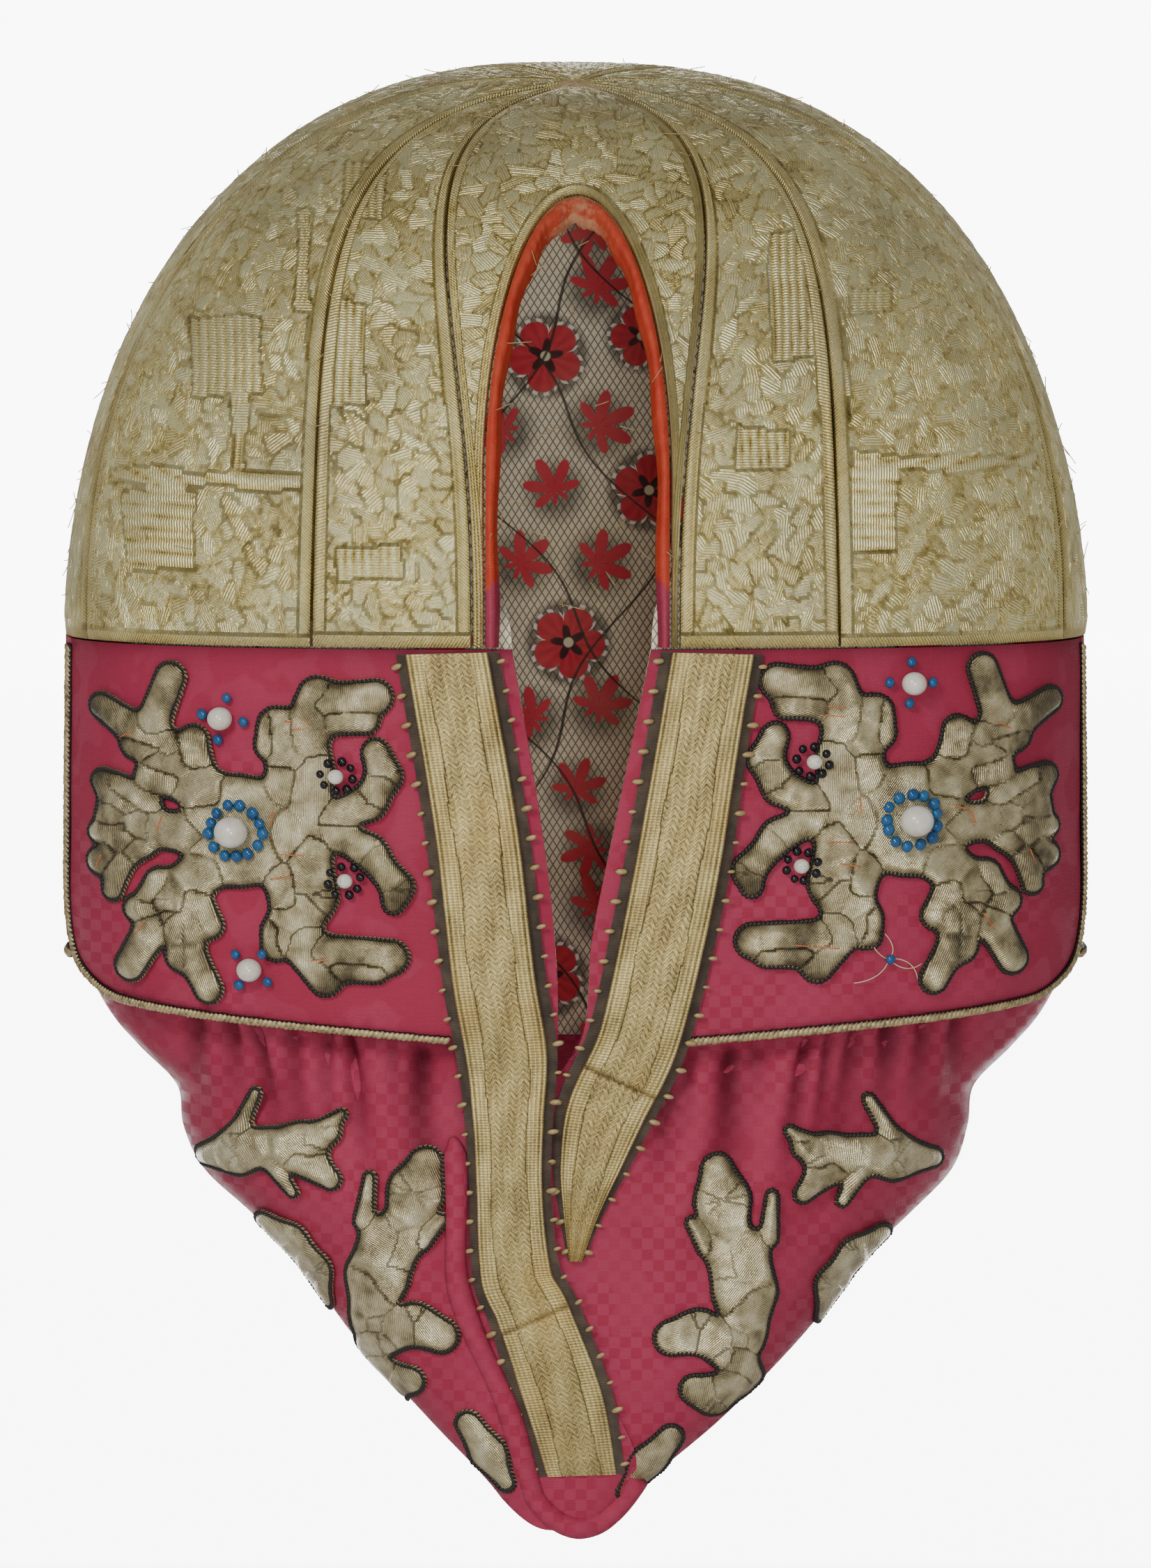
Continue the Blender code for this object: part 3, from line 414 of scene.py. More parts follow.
def worked(u, v, x, z, edges, seed, spread):
    """The gold work's relief, thread coordinate and tone, inside its border cords."""
    relief, thread, tone = leaf_pads(u, v, seed)
    for left, right, top, bottom, pitch, upright in BLOCKS:
        wander = 0.5 * np.sin(x / (3.1 * MM) + z / (4.3 * MM))
        inside = (x / MM > left + wander) & (x / MM < right - wander)
        inside &= (z / MM < top + wander) & (z / MM > bottom - wander)
        across = x / MM if upright else z / MM
        along = z if upright else x
        sway = 0.35 * np.sin(along / (5.5 * MM) + left)
        phase = (across + sway) / pitch
        ridge = np.abs(np.sin(np.pi * phase)) ** 0.7
        relief = np.where(inside, 0.12 + 0.88 * ridge, relief)
        thread = np.where(inside, along, thread)
        tone = np.where(inside, 0.35 * np.sin(np.floor(phase) * 2.3), tone)
    for distance, along in edges:
        cords = distance / (0.8 * MM * spread)
        inside = cords < 3.15
        ridge = np.abs(np.sin(np.pi * np.clip(cords, 0, 3))) ** 0.6
        relief = np.where(inside, 0.25 + 0.5 * ridge, relief)
        thread = np.where(inside, along * 0.8 + distance * 0.5, thread)
        tone = np.where(inside, 0.1 * np.sin(np.floor(cords) * 2.9 + along / (9 * MM)), tone)
    return relief, thread, tone


gold = Finish("gold_embroidery_worked", (0.5, 0.4, 0.19), 0.4, 0.72)
height, line, shine = gold.value("relief"), gold.value("thread"), gold.value("tone")
_, up = gold.place()
strand = ribs_of(line, 0.52 * MM)
patchy = gold.noise(90, 5)
grain = gold.noise(2600, 2)
# The colour is brighter on raised pads, cords and thread ribs and darker in the gaps between them:
# painted highlight and shade. Each pad's random tone stands in for the sheen its stitches catch:
# painted sheen.
light = height * 0.75 + strand * 0.22 + shine * 0.16 + patchy * 0.62 + grain * 0.5 - 0.38
tint = gold.ramp(
    light.clamp(),
    (0.0, (0.050, 0.032, 0.009)),
    (0.28, (0.20, 0.140, 0.040)),
    (0.52, (0.53, 0.405, 0.135)),
    (0.78, (0.82, 0.67, 0.265)),
    (1.0, (1.0, 0.92, 0.50)),
)
dull = gold.mix(((gold.noise(38, 4) - 0.45) * 1.6).clamp(), tint, (0.40, 0.35, 0.22))
# The crown is painted darker towards its top, where the light falls off: painted shade, broken up
# by noise.
fade_and_painted_shade = (up * 0.022 + 0.85 + (gold.noise(60) - 0.5) * 0.8).clamp()
gold.wear(
    Base_Color=gold.mix(fade_and_painted_shade * 0.36, dull, (0.16, 0.135, 0.085)),
    Roughness=0.44 - height * 0.14 + grain * 0.14,
    Metallic=0.5 + height * 0.35,
)
gold.bump(strand * 0.6 + grain * 0.9 + height * 0.4, 0.22 * MM)


def gold_gore(name, turns, falls, seed, edges=("start", "end", "foot"), level=False):
    """A gore of the crown from a grid of turns and falls, embroidered and walled."""
    plain = crown_skin(turns, falls)
    across, down = arcs(plain, 0), arcs(plain, 1)
    width, length = across[-1:], down[:, -1:]
    middle = across - width / 2
    sides = {
        "start": (across, down),
        "end": (width - across, down),
        "foot": (length - down, across),
        "head": (down, across),
    }
    lines = [sides[edge] for edge in edges]
    x, z = plain[..., 0], plain[..., 2]
    if level:
        profile = crown_skin(np.zeros(400), np.linspace(APEX_FALL, 1, 400))
        lengths = arcs(profile[None], 1)[0]
        middle, down = x, np.interp(-z, -profile[:, 2], lengths)
    spread = np.clip(width / (26 * MM), 0.25, 1)
    relief, thread, tone = worked(middle, down, x, z, lines, seed, spread)
    sag = 0.25 * np.sin(middle / (11 * MM) + seed) * np.sin(down / (17 * MM) + 2 * seed)
    rounding = np.ones_like(x)
    for distance, _ in lines:
        rounding *= 1 - 0.6 * np.exp(-distance / (0.3 * MM))
    out = (relief * 0.62 + sag) * MM * rounding + 0.1 * MM
    outer = crown_out(turns, falls, out)
    inner = crown_out(turns, falls, np.full(x.shape, -GORE_WALL))
    values = (("relief", relief), ("thread", thread), ("tone", tone))
    return wall_mesh(name, outer, inner, values, skip=7)


for side, hand in ((-1, "left"), (1, "right")):
    for low, (name, wide, cell) in enumerate((
        ("gore_back_side", 30, 0.56 * MM),
        ("gore_side", 62, 0.62 * MM),
        ("gore_front_side", 84, 1.05 * MM),
    )):
        down = np.linspace(0, 1, round(125 * MM / cell) + 1)
        fall = lerp(APEX_FALL, 1, down**1.25)
        first = seam_turn(low, fall) + seam_clearance(fall)
        last = seam_turn(low + 1, fall) - seam_clearance(fall)
        share = np.linspace(0, 1, round(wide * MM / cell) + 1)[:, None]
        turn = side * lerp(first, last, share)
        gore = gold_gore(
            f"gold_{name}_{hand}", turn, np.broadcast_to(fall, turn.shape), 3 + low * 5 + side
        )
        dressed(gore, gold, f"{name}_{hand}", slot="gold_embroidery")

down = np.linspace(0, 1, 115)
fall = lerp(APEX_FALL, 1, down**1.25)
edge = seam_turn(3, fall) + seam_clearance(fall)
turn = lerp(edge, 2 * np.pi - edge, np.linspace(0, 1, 140)[:, None])
gore = gold_gore("gold_gore_front", turn, np.broadcast_to(fall, turn.shape), 31)
dressed(gore, gold, "gore_front", slot="gold_embroidery")

# The back gore is a horseshoe round the slit, worked from its seams to the slit's edge.
along = np.linspace(-1, 1, 561)
falls = np.maximum(APEX_FALL, np.abs(along) ** 1.3)
edge = np.copysign(seam_turn(0, falls) - seam_clearance(falls), along)
edge[np.abs(along) < 1e-9] = 0
outer_flat = np.stack((falls * np.sin(edge), falls * np.cos(edge)))
slit_turn, slit_fall = crown_place(*slit_outline(along))
inner_flat = np.stack((slit_fall * np.sin(slit_turn), slit_fall * np.cos(slit_turn)))
share = np.linspace(0, 1, 56)[None, :]
p, q = (lerp(o[:, None], i[:, None], share) for o, i in zip(outer_flat, inner_flat))
gore = gold_gore(
    "gold_gore_back", np.arctan2(p, q), np.hypot(p, q), 47,
    ("start", "end", "foot", "head"), level=True
)
dressed(gore, gold, "gore_back", slot="gold_embroidery")


# The back panels and the front band: red silk damask on a stiff backing, quilted hard and flat
# but for a slight wave, with small woven checks that show by their shine, and are also painted
# lighter in the colour: painted sheen. The same silk, unbacked and gathered, hangs below as two
# flaps and a skirt.
TIP_LEVEL, FRONT_RIM_LEVEL = -274.8 * MM, -206.8 * MM
BAND_SIDE_LEVEL, BAND_BACK_LEVEL, BAND_CORNER_RISE = -165.8 * MM, -181.8 * MM, 5 * MM
PANEL_END, FLAP_END = math.radians(75), math.radians(118)
PANEL_WALL, FLAP_WALL, FLAP_GAP = 1.8 * MM, 1.4 * MM, 1.3 * MM
WRAP, WRAP_RATE = 0.93, 2.6
# The lower body from the crown's base (0) to the tip (1): its width as a share of HALF_WIDTH,
# the places of back, side and front in shares of HALF_DEPTH, and its shift sideways.
SECTIONS = np.array((
    (0.000, 1.000, 1.00, 0.00, 1.00, 0.00),
    (0.200, 1.003, 1.00, 0.00, 1.00, 0.00),
    (0.330, 1.000, 0.99, 0.00, 0.98, 0.00),
    (0.400, 0.965, 0.98, 0.00, 0.97, 0.00),
    (0.460, 0.865, 0.96, 0.00, 0.96, 0.00),
    (0.512, 0.785, 0.94, -0.01, 0.95, 0.00),
    (0.560, 0.770, 0.93, -0.03, 0.94, 0.00),
    (0.606, 0.735, 0.92, -0.06, 0.92, 0.005),
    (0.655, 0.650, 0.91, -0.14, 0.46, 0.010),
    (0.700, 0.565, 0.90, -0.24, 0.20, 0.010),
    (0.790, 0.440, 0.87, -0.38, -0.06, 0.005),
    (0.880, 0.285, 0.83, -0.52, -0.34, 0.000),
    (0.950, 0.150, 0.79, -0.64, -0.46, -0.015),
    (1.000, 0.075, 0.76, -0.66, -0.54, -0.030),
))
# The edges of the slit below the crown: the same drop, and x in shares of HALF_WIDTH.
SLIT_EDGES = np.array((
    (0.00, -0.124, 0.148), (0.20, -0.066, 0.076), (0.33, -0.040, 0.032), (0.44, -0.034, 0.012),
    (0.52, -0.046, -0.070), (0.61, -0.052, -0.082), (0.71, -0.036, -0.070), (0.77, 0.014, -0.020),
    (0.85, 0.070, 0.046), (0.93, 0.116, 0.104), (1.00, 0.034, 0.016),
))
# Gathers under the panels' cord: side, place in the half width, spread, depth and reach down.
FOLDS = (
    (-1, 0.545, 0.085, 1.00, 0.55),
    (-1, 0.330, 0.060, 0.70, 0.60),
    (-1, 0.790, 0.060, 0.55, 0.45),
    (1, 0.420, 0.070, 0.70, 0.75),
    (1, 0.690, 0.080, 1.00, 0.60),
    (1, 0.230, 0.045, 0.45, 0.45),
)
FOLD_DEPTH, UNDERLAP_LIFT = 4.0 * MM, 2.6 * MM


def from_table(rows, column, at):
    """A smooth curve through one column of a table whose first column is the place."""
    place, value = rows[:, 0], rows[:, column]
    low = np.clip(np.searchsorted(place, at, side="right") - 1, 0, len(place) - 2)
    before, after = np.maximum(np.arange(len(place)) - 1, 0), np.arange(len(place)) + 1
    after = np.minimum(after, len(place) - 1)
    slope = (value[after] - value[before]) / (place[after] - place[before])
    span = place[low + 1] - place[low]
    t = np.clip((at - place[low]) / span, 0, 1)
    return (
        value[low] * (2 * t**3 - 3 * t**2 + 1)
        + slope[low] * span * (t**3 - 2 * t**2 + t)
        + value[low + 1] * (3 * t**2 - 2 * t**3)
        + slope[low + 1] * span * (t**3 - t**2)
    )


def drop_of(z):
    return (CROWN_BASE - z) / (CROWN_BASE - TIP_LEVEL)


def level_of(drop):
    return lerp(CROWN_BASE, TIP_LEVEL, drop)


def body_skin(turn, z):
    drop = drop_of(z)
    width, back, middle, front, shift = (from_table(SECTIONS, i, drop) for i in range(1, 6))
    side, to_back = plan(turn)
    reach = np.where(to_back > 0, back + middle, front - middle)
    x = HALF_WIDTH * (width * side + shift)
    y = HALF_DEPTH * (middle - reach * to_back)
    return np.stack(np.broadcast_arrays(x, y, z), -1)


def body_out(turn, z, out=0.0):
    """Points this far out from the lower body's plain surface."""
    normal = outward(body_skin, turn, z, 1e-4 * MM)
    return body_skin(turn, z) + normal * np.asarray(out)[..., None]


def body_turn(x, z):
    """The turn on the back half at a sideways place and a level; wide places wrap the side."""
    drop = drop_of(z)
    side = (x / HALF_WIDTH - from_table(SECTIONS, 5, drop)) / from_table(SECTIONS, 1, drop)
    inside = np.minimum(np.abs(side), WRAP)
    turn = np.arctan2(inside, (1 - inside**PLAN_POWER) ** (1 / PLAN_POWER))
    return np.copysign(turn + WRAP_RATE * (np.abs(side) - inside), side)


def slit_edge(side, z):
    return HALF_WIDTH * from_table(SLIT_EDGES, 1 if side < 0 else 2, drop_of(z))


def band_bottom(turn):
    share = np.minimum(np.abs(turn) / PANEL_END, 1)
    corner = BAND_CORNER_RISE * (eased(share * 5 - 4) - 1)
    return lerp(BAND_BACK_LEVEL, BAND_SIDE_LEVEL, share) + corner * share


def hem_level(turn):
    forward = eased((np.abs(turn) - math.radians(90)) / (FLAP_END - math.radians(90)))
    return lerp(TIP_LEVEL, FRONT_RIM_LEVEL, forward)


def lift_of(side, x, z):
    """How far the flaps stand out from the plain body: gathers, and the lap over the slit."""
    share = drop_of(z)
    width = HALF_WIDTH * from_table(SECTIONS, 1, share)
    place = side * (x - HALF_WIDTH * from_table(SECTIONS, 5, share)) / width
    top = drop_of(band_bottom(body_turn(x, z)))
    down = (share - top) / (1 - top)
    lift = np.zeros(np.shape(x))
    for fold_side, fold_place, spread, depth, reach in FOLDS:
        if fold_side == side:
            off = (place - fold_place) / spread
            lift -= FOLD_DEPTH * depth * np.exp(-off * off) * (1 - eased(down / reach))
    if side < 0:
        lap = eased((share - 0.47) / 0.06) * (1 - 0.6 * eased((share - 0.9) / 0.1))
        lift += UNDERLAP_LIFT * lap * (1 - eased((slit_edge(-1, z) - x) / (30 * MM) - 0.6))
    return lift


silk = Finish("silk_damask_raspberry", (0.42, 0.035, 0.095), 0.5)
silk.shader.inputs["Specular IOR Level"].default_value = 0.12
wide, high = silk.place("X", "Z")
CHECK, YARN = 2.15, 0.32
square = wave_of(wide, 2 * CHECK) * wave_of(high, 2 * CHECK)
checks = square.above(0, 0.22) * (silk.noise(34, 2) - 0.50 - (high + 165) * 0.0028).above(0, 0.12)
figure = silk.noise(120, 2, roughness=0.3).above(0.52, 0.05) * 0.6
warp_face = (checks + figure * (1 - checks)).clamp()
stains = (silk.noise(45, 5) - 0.42) * 1.6
# The woven checks and the damask figure are lighter in the colour: painted sheen.
sheen_painted_silk = silk.mix(warp_face * 0.7, (0.40, 0.038, 0.080), (0.47, 0.062, 0.120))
slub = silk.noise(1, 3, silk.vector(wide * 0.25, high * 3.2))
aged = silk.mix((stains.clamp() * 0.5 + slub * 0.18), sheen_painted_silk, (0.29, 0.024, 0.052))
# The stored shade darkens the silk in the hollows of the flaps' gathers, just under the crown and
# the cords, and along the panels' tucked foot: painted shade.
crease = silk.value("shade")
silk.wear(
    Base_Color=silk.mix(crease, aged, (0.08, 0.004, 0.012)),
    Roughness=0.58 - warp_face * 0.16 + slub * 0.1,
)
cloth = wave_of(wide, YARN) * 0.3 + wave_of(high, YARN) * 0.3
silk.bump(cloth + warp_face * 0.6 + slub * 1.2, 0.06 * MM, 0.7)


def cut_of_cloth(grid):
    """Measures a sheet of cloth's cut along its grid and the cross products of its cells, and
    keeps neither.
    """
    cut = float(arcs(grid, 0)[-1].max()), float(arcs(grid, 1)[:, -1].max())
    fans = np.cross(grid[1:, 1:] - grid[:-1, :-1], grid[1:, :-1] - grid[:-1, 1:])


def silk_wall(name, turn, z, out, wall, shade=None):
    """A wall of silk from turns and levels, its outer face this far out from the plain body."""
    outer, inner = body_out(turn, z, out), body_out(turn, z, out - wall)
    shade = np.zeros(turn.shape) if shade is None else shade
    piece = wall_mesh(name, outer, inner, (("shade", shade),), skip=4)
    cut_of_cloth(outer)
    return piece


def panel_grid(side, across, down):
    z = np.full((across.size, down.size), CROWN_BASE - SEAM_GAP)
    for _ in range(4):
        inner = side * body_turn(slit_edge(side, z), z)
        turn = lerp(inner, PANEL_END, across[:, None])
        z = lerp(CROWN_BASE - SEAM_GAP, band_bottom(turn), down[None, :])
    return side * turn, z


for side, hand in ((-1, "left"), (1, "right")):
    turn, z = panel_grid(side, np.linspace(0, 1, 130), np.linspace(0, 1, 96))
    plain = body_skin(turn, z)
    run, fall = arcs(plain, 0), arcs(plain, 1)
    wave = 0.28 * np.sin(run / (15 * MM) + side) * np.sin(fall / (11 * MM) + 1)
    wave += 0.12 * np.sin(run / (4.2 * MM) + 2 * np.sin(fall / (9 * MM)))
    near = np.minimum(run, run[-1:] - run)
    tuck = np.exp(-(near / (1.2 * MM)) ** 2)
    foot = np.exp(-((fall[:, -1:] - fall) / (1.6 * MM)) ** 2)
    shade = 0.55 * np.exp(-fall / (2.2 * MM)) + 0.45 * foot
    out = (wave * (1 - tuck) - 0.5 * tuck - 0.5 * foot) * MM
    panel = silk_wall(
        f"silk_panel_{hand}", turn, z, out, PANEL_WALL, np.clip(shade, 0, 1)
    )
    dressed(panel, silk, f"panel_{hand}", slot="silk")

start = PANEL_END + SEAM_GAP * 1.5 / HALF_DEPTH
turn = np.repeat(np.linspace(start, 2 * math.pi - start, 220)[:, None], 56, 1)
down = np.broadcast_to(np.linspace(0, 1, 56), turn.shape)
z = lerp(CROWN_BASE - SEAM_GAP, BAND_SIDE_LEVEL, down)
out = 0.3 * MM * np.sin(turn * 11) * np.sin(z / (9 * MM))
band = silk_wall("silk_band_front", turn, z, out, PANEL_WALL)
dressed(band, silk, "band_front", slot="silk")


# The slit's binding: a strip of orange-red silk folded over the gores' cut edge from the face to
# the lining, wrinkled by its stitches; at the head it is frayed, with pale warp threads loose,
# and at its feet it goes on in the panels' raspberry silk.
binding = Finish("binding_silk", (0.60, 0.075, 0.03), 0.62)
worn, rib, foot = (binding.value(key) for key in ("worn", "thread", "foot"))
weave = ribs_of(rib, 0.42 * MM)
fade_and_painted_shade = (binding.noise(300, 5) * 1.2 - 0.45 + worn * 0.5).clamp()
red = binding.mix(fade_and_painted_shade, (0.50, 0.034, 0.010), (0.62, 0.10, 0.035))
red = binding.mix(foot, red, (0.36, 0.032, 0.070))
frayed = (worn * 1.5 - 0.5 - binding.noise(900, 2)).clamp()
binding.wear(
    Base_Color=binding.mix(frayed, red, (0.78, 0.56, 0.30)),
    Roughness=0.55 + weave * 0.15,
)
binding.bump(weave * 0.4 + binding.noise(1500, 3) * 0.9, 0.12 * MM)

BINDING_WIDTH, BINDING_WALL, BINDING_STEP = 2.7 * MM, 2.6 * MM, 0.42 * MM
SILK_FEET_FROM = 0.93  # along the slit from its head at 0 to its feet at 1
along = np.linspace(-1, 1, 630)
outer, inner, worn_by, thread_by, foot_by = [], [], [], [], []
run = np.cumsum(np.full(along.size, BINDING_STEP))
head = np.exp(-((along / 0.30) ** 2))
for turn in np.linspace(0, 1, 15):
    ruffle = 0.34 * np.sin(run / (0.9 * MM) + 1.7 * np.sin(run / (5.1 * MM)))
    ruffle += 0.5 * np.sin(run / (2.6 * MM) + 2.2 * turn) * (0.3 + head)
    width = BINDING_WIDTH * (0.9 + 0.10 * np.sin(run / (4.3 * MM))) * (1 + 0.35 * head)
    shrink = 0.5 * MM + width * turn
    x, z = slit_outline(along, np.minimum(shrink, 6 * MM))
    turns, falls = crown_place(x, z)
    bulge = np.sin(np.pi * min(turn * 1.25, 1)) * 0.75 - 4.2 * max(turn - 0.72, 0) ** 1.1 * 1.9
    lift = (0.35 + bulge + ruffle * (0.25 + 0.75 * turn) * 0.55) * MM
    outer.append(crown_out(turns, falls, lift))
    inner.append(crown_out(turns, falls, lift - BINDING_WALL * (1 - 0.3 * turn)))
    worn_by.append(np.clip(head * 0.8 + 0.45 * (turn < 0.12) + 0.25 * (turn > 0.9), 0, 1))
    thread_by.append(run + 0.3 * ruffle * MM)
    foot_by.append(eased((np.abs(along) - SILK_FEET_FROM + 0.02 * turn) / 0.012))
grids = [np.stack(rows, 1) for rows in (outer, inner)]
tables = (("worn", worn_by), ("thread", thread_by), ("foot", foot_by))
values = [(key, np.stack(table, 1)) for key, table in tables]
edge = wall_mesh("binding_of_slit", *grids, values, skip=2)
dressed(edge, binding, "slit_binding", slot="red_binding")


# The lining: block-printed cotton, cream with a fine black lattice set slantwise, red flowers of
# five petals edged in white dots, red leaves in soft dark shade, and thin black stems. It is
# one sheet from the crown's top to where the flaps begin, sewn in at the slit's edge.
print_cloth = Finish("lining_printed_cotton", (0.6, 0.53, 0.36), 0.88, sheen=0.1)
across, up = print_cloth.place("X", "Z")


def lattice(first, second, pitch, wide):
    return wave_of(across * first + up * second, pitch).above(1 - wide, 0.3)


net = lattice(1, 0.62, 1.5, 0.17).maths("MAXIMUM", lattice(-1, 0.62, 1.5, 0.17))
ink = (0.030, 0.022, 0.016)
stain = (print_cloth.noise(26, 4) * 1.5 - 0.45).clamp()
ground = print_cloth.mix(stain, (0.98, 0.91, 0.70), (0.84, 0.70, 0.38))
# Flowers and leaves of one repeat of the print, as seen through the slit: the middle in
# millimetres, the size, and the turn in degrees; the print repeats every 92 by 124 mm.
CELL_WIDE, CELL_HIGH = 92.0, 124.0
FLOWERS = (
    (-6.0, -50.0, 7.6, 10), (14.7, -76.9, 7.4, 50), (-1.4, -107.4, 7.6, 30),
    (13.1, -46.0, 6.4, 0), (40.0, -92.0, 7.4, 20), (-38.0, -62.0, 7.6, 40),
)
LEAVES = (
    (4.5, -64.0, 6.2, 25), (-4.1, -76.9, 5.6, 120), (4.5, -91.7, 6.0, 30),
    (-11.1, -91.7, 5.8, 40), (-14.3, -64.8, 5.6, 160), (4.6, -120.4, 5.8, 60),
    (-8.5, -122.7, 5.6, 150), (0.1, -137.0, 5.4, 70), (3.4, -148.5, 5.4, 200),
    (4.2, -36.3, 6.0, 60), (28.0, -64.0, 6.0, 30), (-26.0, -104.0, 6.0, 80),
)


def repeated(value, middle, cell):
    """The signed distance from the nearest repeat of a place."""
    return (value - middle + cell / 2).maths("FLOORED_MODULO", cell) - cell / 2


def polar(x, y, turn):
    off_x, off_y = repeated(across, x, CELL_WIDE), repeated(up, y, CELL_HIGH)
    reach = (off_x * off_x + off_y * off_y).maths("SQRT")
    return reach, off_y.maths("ARCTAN2", off_x) - math.radians(turn)


mix = print_cloth.mix
colour = mix(net * 0.8, ground, ink)
for x, y, size, turn in FLOWERS:
    reach, angle = polar(x, y, turn)
    lobe = (angle * 2.5).maths("SINE").maths("ABSOLUTE").maths("POWER", 0.45)
    rim = lobe * (0.42 * size) + 0.58 * size
    colour = mix((1 - reach.above(size * 1.12, 1.6)) * 0.75, colour, (0.045, 0.035, 0.028))
    petal = 1 - (reach - rim).above(-0.3, 0.35)
    rays = ((angle * 15).maths("SINE") * 0.5 + 0.5) * 0.5
    colour = mix(petal, colour, mix(rays, (0.66, 0.040, 0.060), (0.42, 0.018, 0.034)))
    ring = 1 - (reach - rim - 0.15).maths("ABSOLUTE").above(0.36, 0.2)
    dots = (angle * 21).maths("SINE").above(0.0, 0.7)
    colour = mix(ring * dots, colour, (0.95, 0.86, 0.74))
    star = 1 - (reach - (angle * 5).maths("COSINE") * (0.15 * size)).above(size * 0.33, 0.5)
    colour = mix(star, colour, (0.05, 0.008, 0.012))
    colour = mix(1 - reach.above(size * 0.13, 0.3), colour, (0.72, 0.66, 0.42))
for x, y, size, turn in LEAVES:
    reach, angle = polar(x, y, turn)
    point = (angle * 0.5).maths("COSINE").maths("ABSOLUTE")
    teeth = (angle * 3.5).maths("COSINE").maths("ABSOLUTE").maths("POWER", 1.3) * 0.62 + 0.4
    rim = (point * 0.7 + 0.3) * teeth * (1.35 * size)
    grainy = print_cloth.noise(500, 3) * 0.7 + 0.6
    halo = (1 - (reach / (size * 1.25)).above(0.8, 0.55)) * grainy
    colour = mix(halo.clamp() * 0.75, colour, (0.055, 0.042, 0.034))
    colour = mix(1 - (reach - rim).above(-0.6, 0.5), colour, (0.64, 0.05, 0.07))
    vein = 1 - (angle * 3.5).maths("COSINE").maths("ABSOLUTE").above(0.10, 0.1)
    vein = vein * (1 - (reach - rim).above(-1.0, 0.4)) * 0.7
    colour = mix(vein, colour, (0.2, 0.01, 0.02))
for slope, gap, sway in ((0.8, 31.0, 3.0), (-0.55, 46.0, 2.4)):
    stem = repeated(across + up * slope + (up / 6.5).maths("SINE") * sway, gap / 2 - 4, gap)
    colour = mix((1 - stem.maths("ABSOLUTE").above(0.3, 0.25)) * 0.9, colour, ink)
fade = (print_cloth.noise(60, 5) - 0.45) * 0.9
print_cloth.wear(Base_Color=mix(fade.clamp() * 0.45, colour, (0.80, 0.68, 0.42)))
yarn = ((across * 14).maths("SINE") * (up * 14).maths("SINE")) + print_cloth.noise(1800, 2)
print_cloth.bump(yarn, 0.05 * MM, 0.6)

# Its grid has the crown's rows first and then the band's, out from the plain skins of each.
LINING_DEPTH, LINING_WALL, LINING_FOOT = 4.25, 0.8, -186 * MM
fall = lerp(0.02, 1, np.linspace(0, 1, 48) ** 1.2)
around = np.linspace(0, 1, 120)[:, None]
crown_z = crown_skin(np.zeros(fall.size), fall)[:, 2]
edge = crown_place(slit_half(crown_z, -2.6 * MM), crown_z)[0]
edge = np.maximum(edge, math.radians(2))
body_down = np.linspace(0, 1, 30)[None, :]
z = np.full((around.size, 30), CROWN_BASE)
for _ in range(6):
    first = body_turn(slit_edge(1, z), z)
    last = 2 * math.pi + body_turn(slit_edge(-1, z), z)
    body = lerp(first, last, around)
    near = np.minimum(np.abs(body), np.abs(2 * math.pi - body))
    forward = eased((near - math.radians(100)) / 0.4)
    foot = lerp(band_bottom(near) + 5.8 * MM, LINING_FOOT, forward)
    z = lerp(CROWN_BASE, foot, body_down)
settle = eased((fall - 0.75) / 0.25)
base_first, base_last = (body_turn(slit_edge(side, CROWN_BASE), CROWN_BASE) for side in (1, -1))
first = lerp(edge, base_first, settle)
last = lerp(2 * math.pi - edge, 2 * math.pi + base_last, settle)
crown_turn = lerp(first, last, around)
wave = 0.25 * np.sin(crown_turn * 23) * np.sin(8 * fall) - LINING_DEPTH
falls = np.broadcast_to(fall, crown_turn.shape)
upper = [crown_out(crown_turn, falls, (wave - wall) * MM) for wall in (0, LINING_WALL)]
below = CROWN_BASE - z
ease = LINING_DEPTH - 1.2 * eased(below / (12 * MM)) + 2.8 * eased((-150 * MM - z) / (10 * MM))
ripple = 0.3 * np.sin(body * 19) * eased(below / (20 * MM))
lower = [body_out(body, z, (ripple - ease - wall) * MM) for wall in (0, LINING_WALL)]
grids = [np.concatenate((a, b[:, 1:]), 1) for a, b in zip(upper, lower)]
lining = wall_mesh("lining_of_print", *grids)
dressed(lining, print_cloth, "lining_crown", "lining_body", slot="printed_cotton")
cut_of_cloth(grids[0])


# The flaps: unbacked silk gathered under the panels' edge, falling to a point at the nape. The
# left one laps over the right; its edge is rolled back on itself beside the ribbon.
def flap_grid(side, across, down):
    """Turns, levels and lifts of one flap, from its gathered top to its hem."""
    z = np.full((across.size, down.size), BAND_BACK_LEVEL)
    for _ in range(10):
        inner = side * body_turn(slit_edge(side, z), z)
        turn = lerp(inner, FLAP_END, across[:, None])
        top, open_from = band_bottom(turn) + 5 * MM, band_bottom(turn) - 1 * MM
        share = down[None, :] * 7
        hanging = lerp(open_from, hem_level(turn), (np.maximum(share - 1, 0) / 6) ** 1.25)
        near_tip = eased((-235 * MM - hanging) / (40 * MM))
        round_tip = 7 * MM * np.sin(np.minimum(turn, math.pi / 2)) ** 4 * near_tip
        z = np.where(share < 1, lerp(top, open_from, share), hanging + round_tip)
    x = body_skin(side * turn, z)[..., 0]
    fading = 1 - eased((turn - PANEL_END) / math.radians(15))
    lift = lift_of(side, x, z) * fading
    depth = (PANEL_WALL + FLAP_GAP) * (1 - eased((band_bottom(turn) - 1 * MM - z) / (13 * MM)))
    return side * turn, z, lift - depth, x, share


